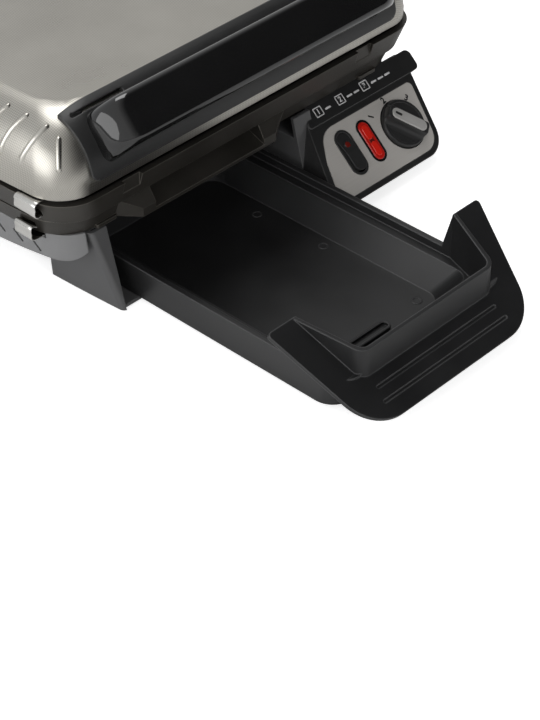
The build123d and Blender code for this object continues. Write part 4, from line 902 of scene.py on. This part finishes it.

# Pilot light: a clear red lens with round ends in a black ring. An inner step shows as a
# brighter oval, painted light of the lamp, with a dark middle, the painted shade of the lamp behind it.
LENS_X, LENS_DOWN = 103.5, 40.4
LENS_STEP_OFF, LENS_STEP_LENGTH = 0.0067, 0.0115
UPRIGHT = math.pi / 2
red_lens, red_tree, red_shader = new_material("red_lens")
red_place = red_tree.nodes.new("ShaderNodeTexCoord").outputs["Object"]
red_cloud = clouds(red_tree, red_place, 260.0)
red_tone = blend(red_tree, red_cloud, (0.30, 0.006, 0.003, 1.0), (0.42, 0.010, 0.005, 1.0))
feed(red_tree, red_shader, Roughness=0.12, IOR=1.49, Coat_Weight=0.5, Transmission_Weight=0.1,
     Base_Color=red_tone, Emission_Color=red_tone, Emission_Strength=0.25)
# Dark red of the rocker's window, and painted shade of the lamp in the lens's middle.
window_red_and_lens_shade = finish("window_red_and_lens_shade", (0.10, 0.006, 0.004), (0.14, 0.010, 0.006), (0.12, 0.2),
                  (0.3, 0.03, 0.02), grain=(300.0, 0.00001))
# The lens step's brighter red is painted light of the lamp behind it.
lit_red = finish("lit_red", (0.60, 0.010, 0.005), (0.78, 0.022, 0.010), (0.10, 0.16),
                 (0.85, 0.12, 0.08), grain=(300.0, 0.00001), coat=0.5)
lens_place = on_slope(LENS_X, LENS_DOWN, 0.0, UPRIGHT)
lens = slot_block("pilot_lens_body", length=0.0305, width=0.0100, low=-0.0026, high=0.0012, soft=0.0011)
settle(lens, lens_place, red_lens, "base")
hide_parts("pilot_lens")
for index, offset in enumerate((LENS_STEP_OFF, -LENS_STEP_OFF)):
    lens_step = slot_block(f"pilot_lens_step_{index}", length=LENS_STEP_LENGTH, width=0.0056, low=0.0004,
                           high=0.0017, soft=0.0004)
    settle(lens_step, lens_place @ Matrix.Translation((offset, 0, 0)), lit_red, "base")
# The dark core is painted shade of the lamp behind the lens.
core = slot_block("pilot_lens_core", length=0.0064, width=0.0044, low=0.0006, high=0.00135, soft=0.0002)
settle(core, lens_place, window_red_and_lens_shade, "base")
dress(gloss_black, "pilot_ring")
lamp_glass = finish("lamp_glass", (0.7, 0.6, 0.5), (0.8, 0.7, 0.6), (0.1, 0.2), (0.9, 0.8, 0.7))
dress(lamp_glass, "pilot_lamp")

# Rocker switch: black case with a long rocker, its upper end pressed in, and a small red window
# that shows when it is on.
WINDOW_X, WINDOW_DOWN = 82.0, 34.5
dress(block_black, "switch_case")
dress(dial_black, "rocker_switch")
window_place = on_slope(WINDOW_X, WINDOW_DOWN, 0.0, UPRIGHT)
window_rim = slot_block("rocker_window_rim", length=0.0068, width=0.0058, low=-0.0012, high=0.0018,
                        soft=0.0002)
settle(window_rim, window_place, dial_black, "rocker")
window = slot_block("rocker_window", length=0.0052, width=0.0042, low=-0.0008, high=0.0021, soft=0.0003)
settle(window, window_place, window_red_and_lens_shade, "rocker")

# Drip tray: soft satin black moulding, a deep pan with a stepped floor, an upright collar and a
# reclined front with two grooves and an ear at each end. It slides on the runners of the tub.
PAN_FLOOR_Z = 0.0065
EJECTOR_MARKS = ((5.5, -20.1), (9.0, -80.1), (5.0, -168.1))
EJECTOR_LENGTH, EJECTOR_WIDTH, EJECTOR_RIM, EJECTOR_DISH = 0.0076, 0.0074, 0.0006, 0.0002
POCKET_LENGTH, POCKET_WIDTH, POCKET_RIM, POCKET_DEPTH = 0.040, 0.0090, 0.0012, 0.0024
POCKET_PLACE = (-0.048, -0.1715, PAN_FLOOR_Z)
tray_black = finish("tray_black", (0.010, 0.010, 0.0103), (0.015, 0.015, 0.0154), (0.34, 0.42),
                    (0.075, 0.075, 0.076), grain=(1500.0, 0.00002), soft=0.0013)
dress(tray_black, "drip_tray")
for index, (x, y) in enumerate(EJECTOR_MARKS):
    disc_mark = slot_block(f"ejector_mark_{index}", EJECTOR_LENGTH, EJECTOR_WIDTH, low=-0.0003, high=0.0003,
                           soft=0.00015)
    pick_faces(disc_mark, lambda middle, normal: normal.z > 0.99)
    bpy.ops.mesh.inset(thickness=EJECTOR_RIM)
    bpy.ops.mesh.extrude_region_move(TRANSFORM_OT_translate={"value": (0, 0, -EJECTOR_DISH)})
    settle(disc_mark, Matrix.Translation((x * MM, y * MM, PAN_FLOOR_Z)), tray_black, "tray")
pocket = slot_block("floor_pocket", POCKET_LENGTH, POCKET_WIDTH, low=-0.0004, high=0.0026, soft=0.0005)
pick_faces(pocket, lambda middle, normal: normal.z > 0.99)
bpy.ops.mesh.inset(thickness=POCKET_RIM)
bpy.ops.mesh.extrude_region_move(TRANSFORM_OT_translate={"value": (0, 0, -POCKET_DEPTH)})
settle(pocket, Matrix.Translation(POCKET_PLACE), tray_black, "tray")

# Behind the panel: thermostat body, terminal block and thermal cut-out, moulded in pale
# heat-proof plastic and screwed inside the tub.
pale_plastic = finish("pale_plastic", (0.48, 0.45, 0.38), (0.58, 0.55, 0.47), (0.4, 0.5), (0.65, 0.62, 0.55))
dress(pale_plastic, "thermostat", "terminal_block", "thermal_cutout")
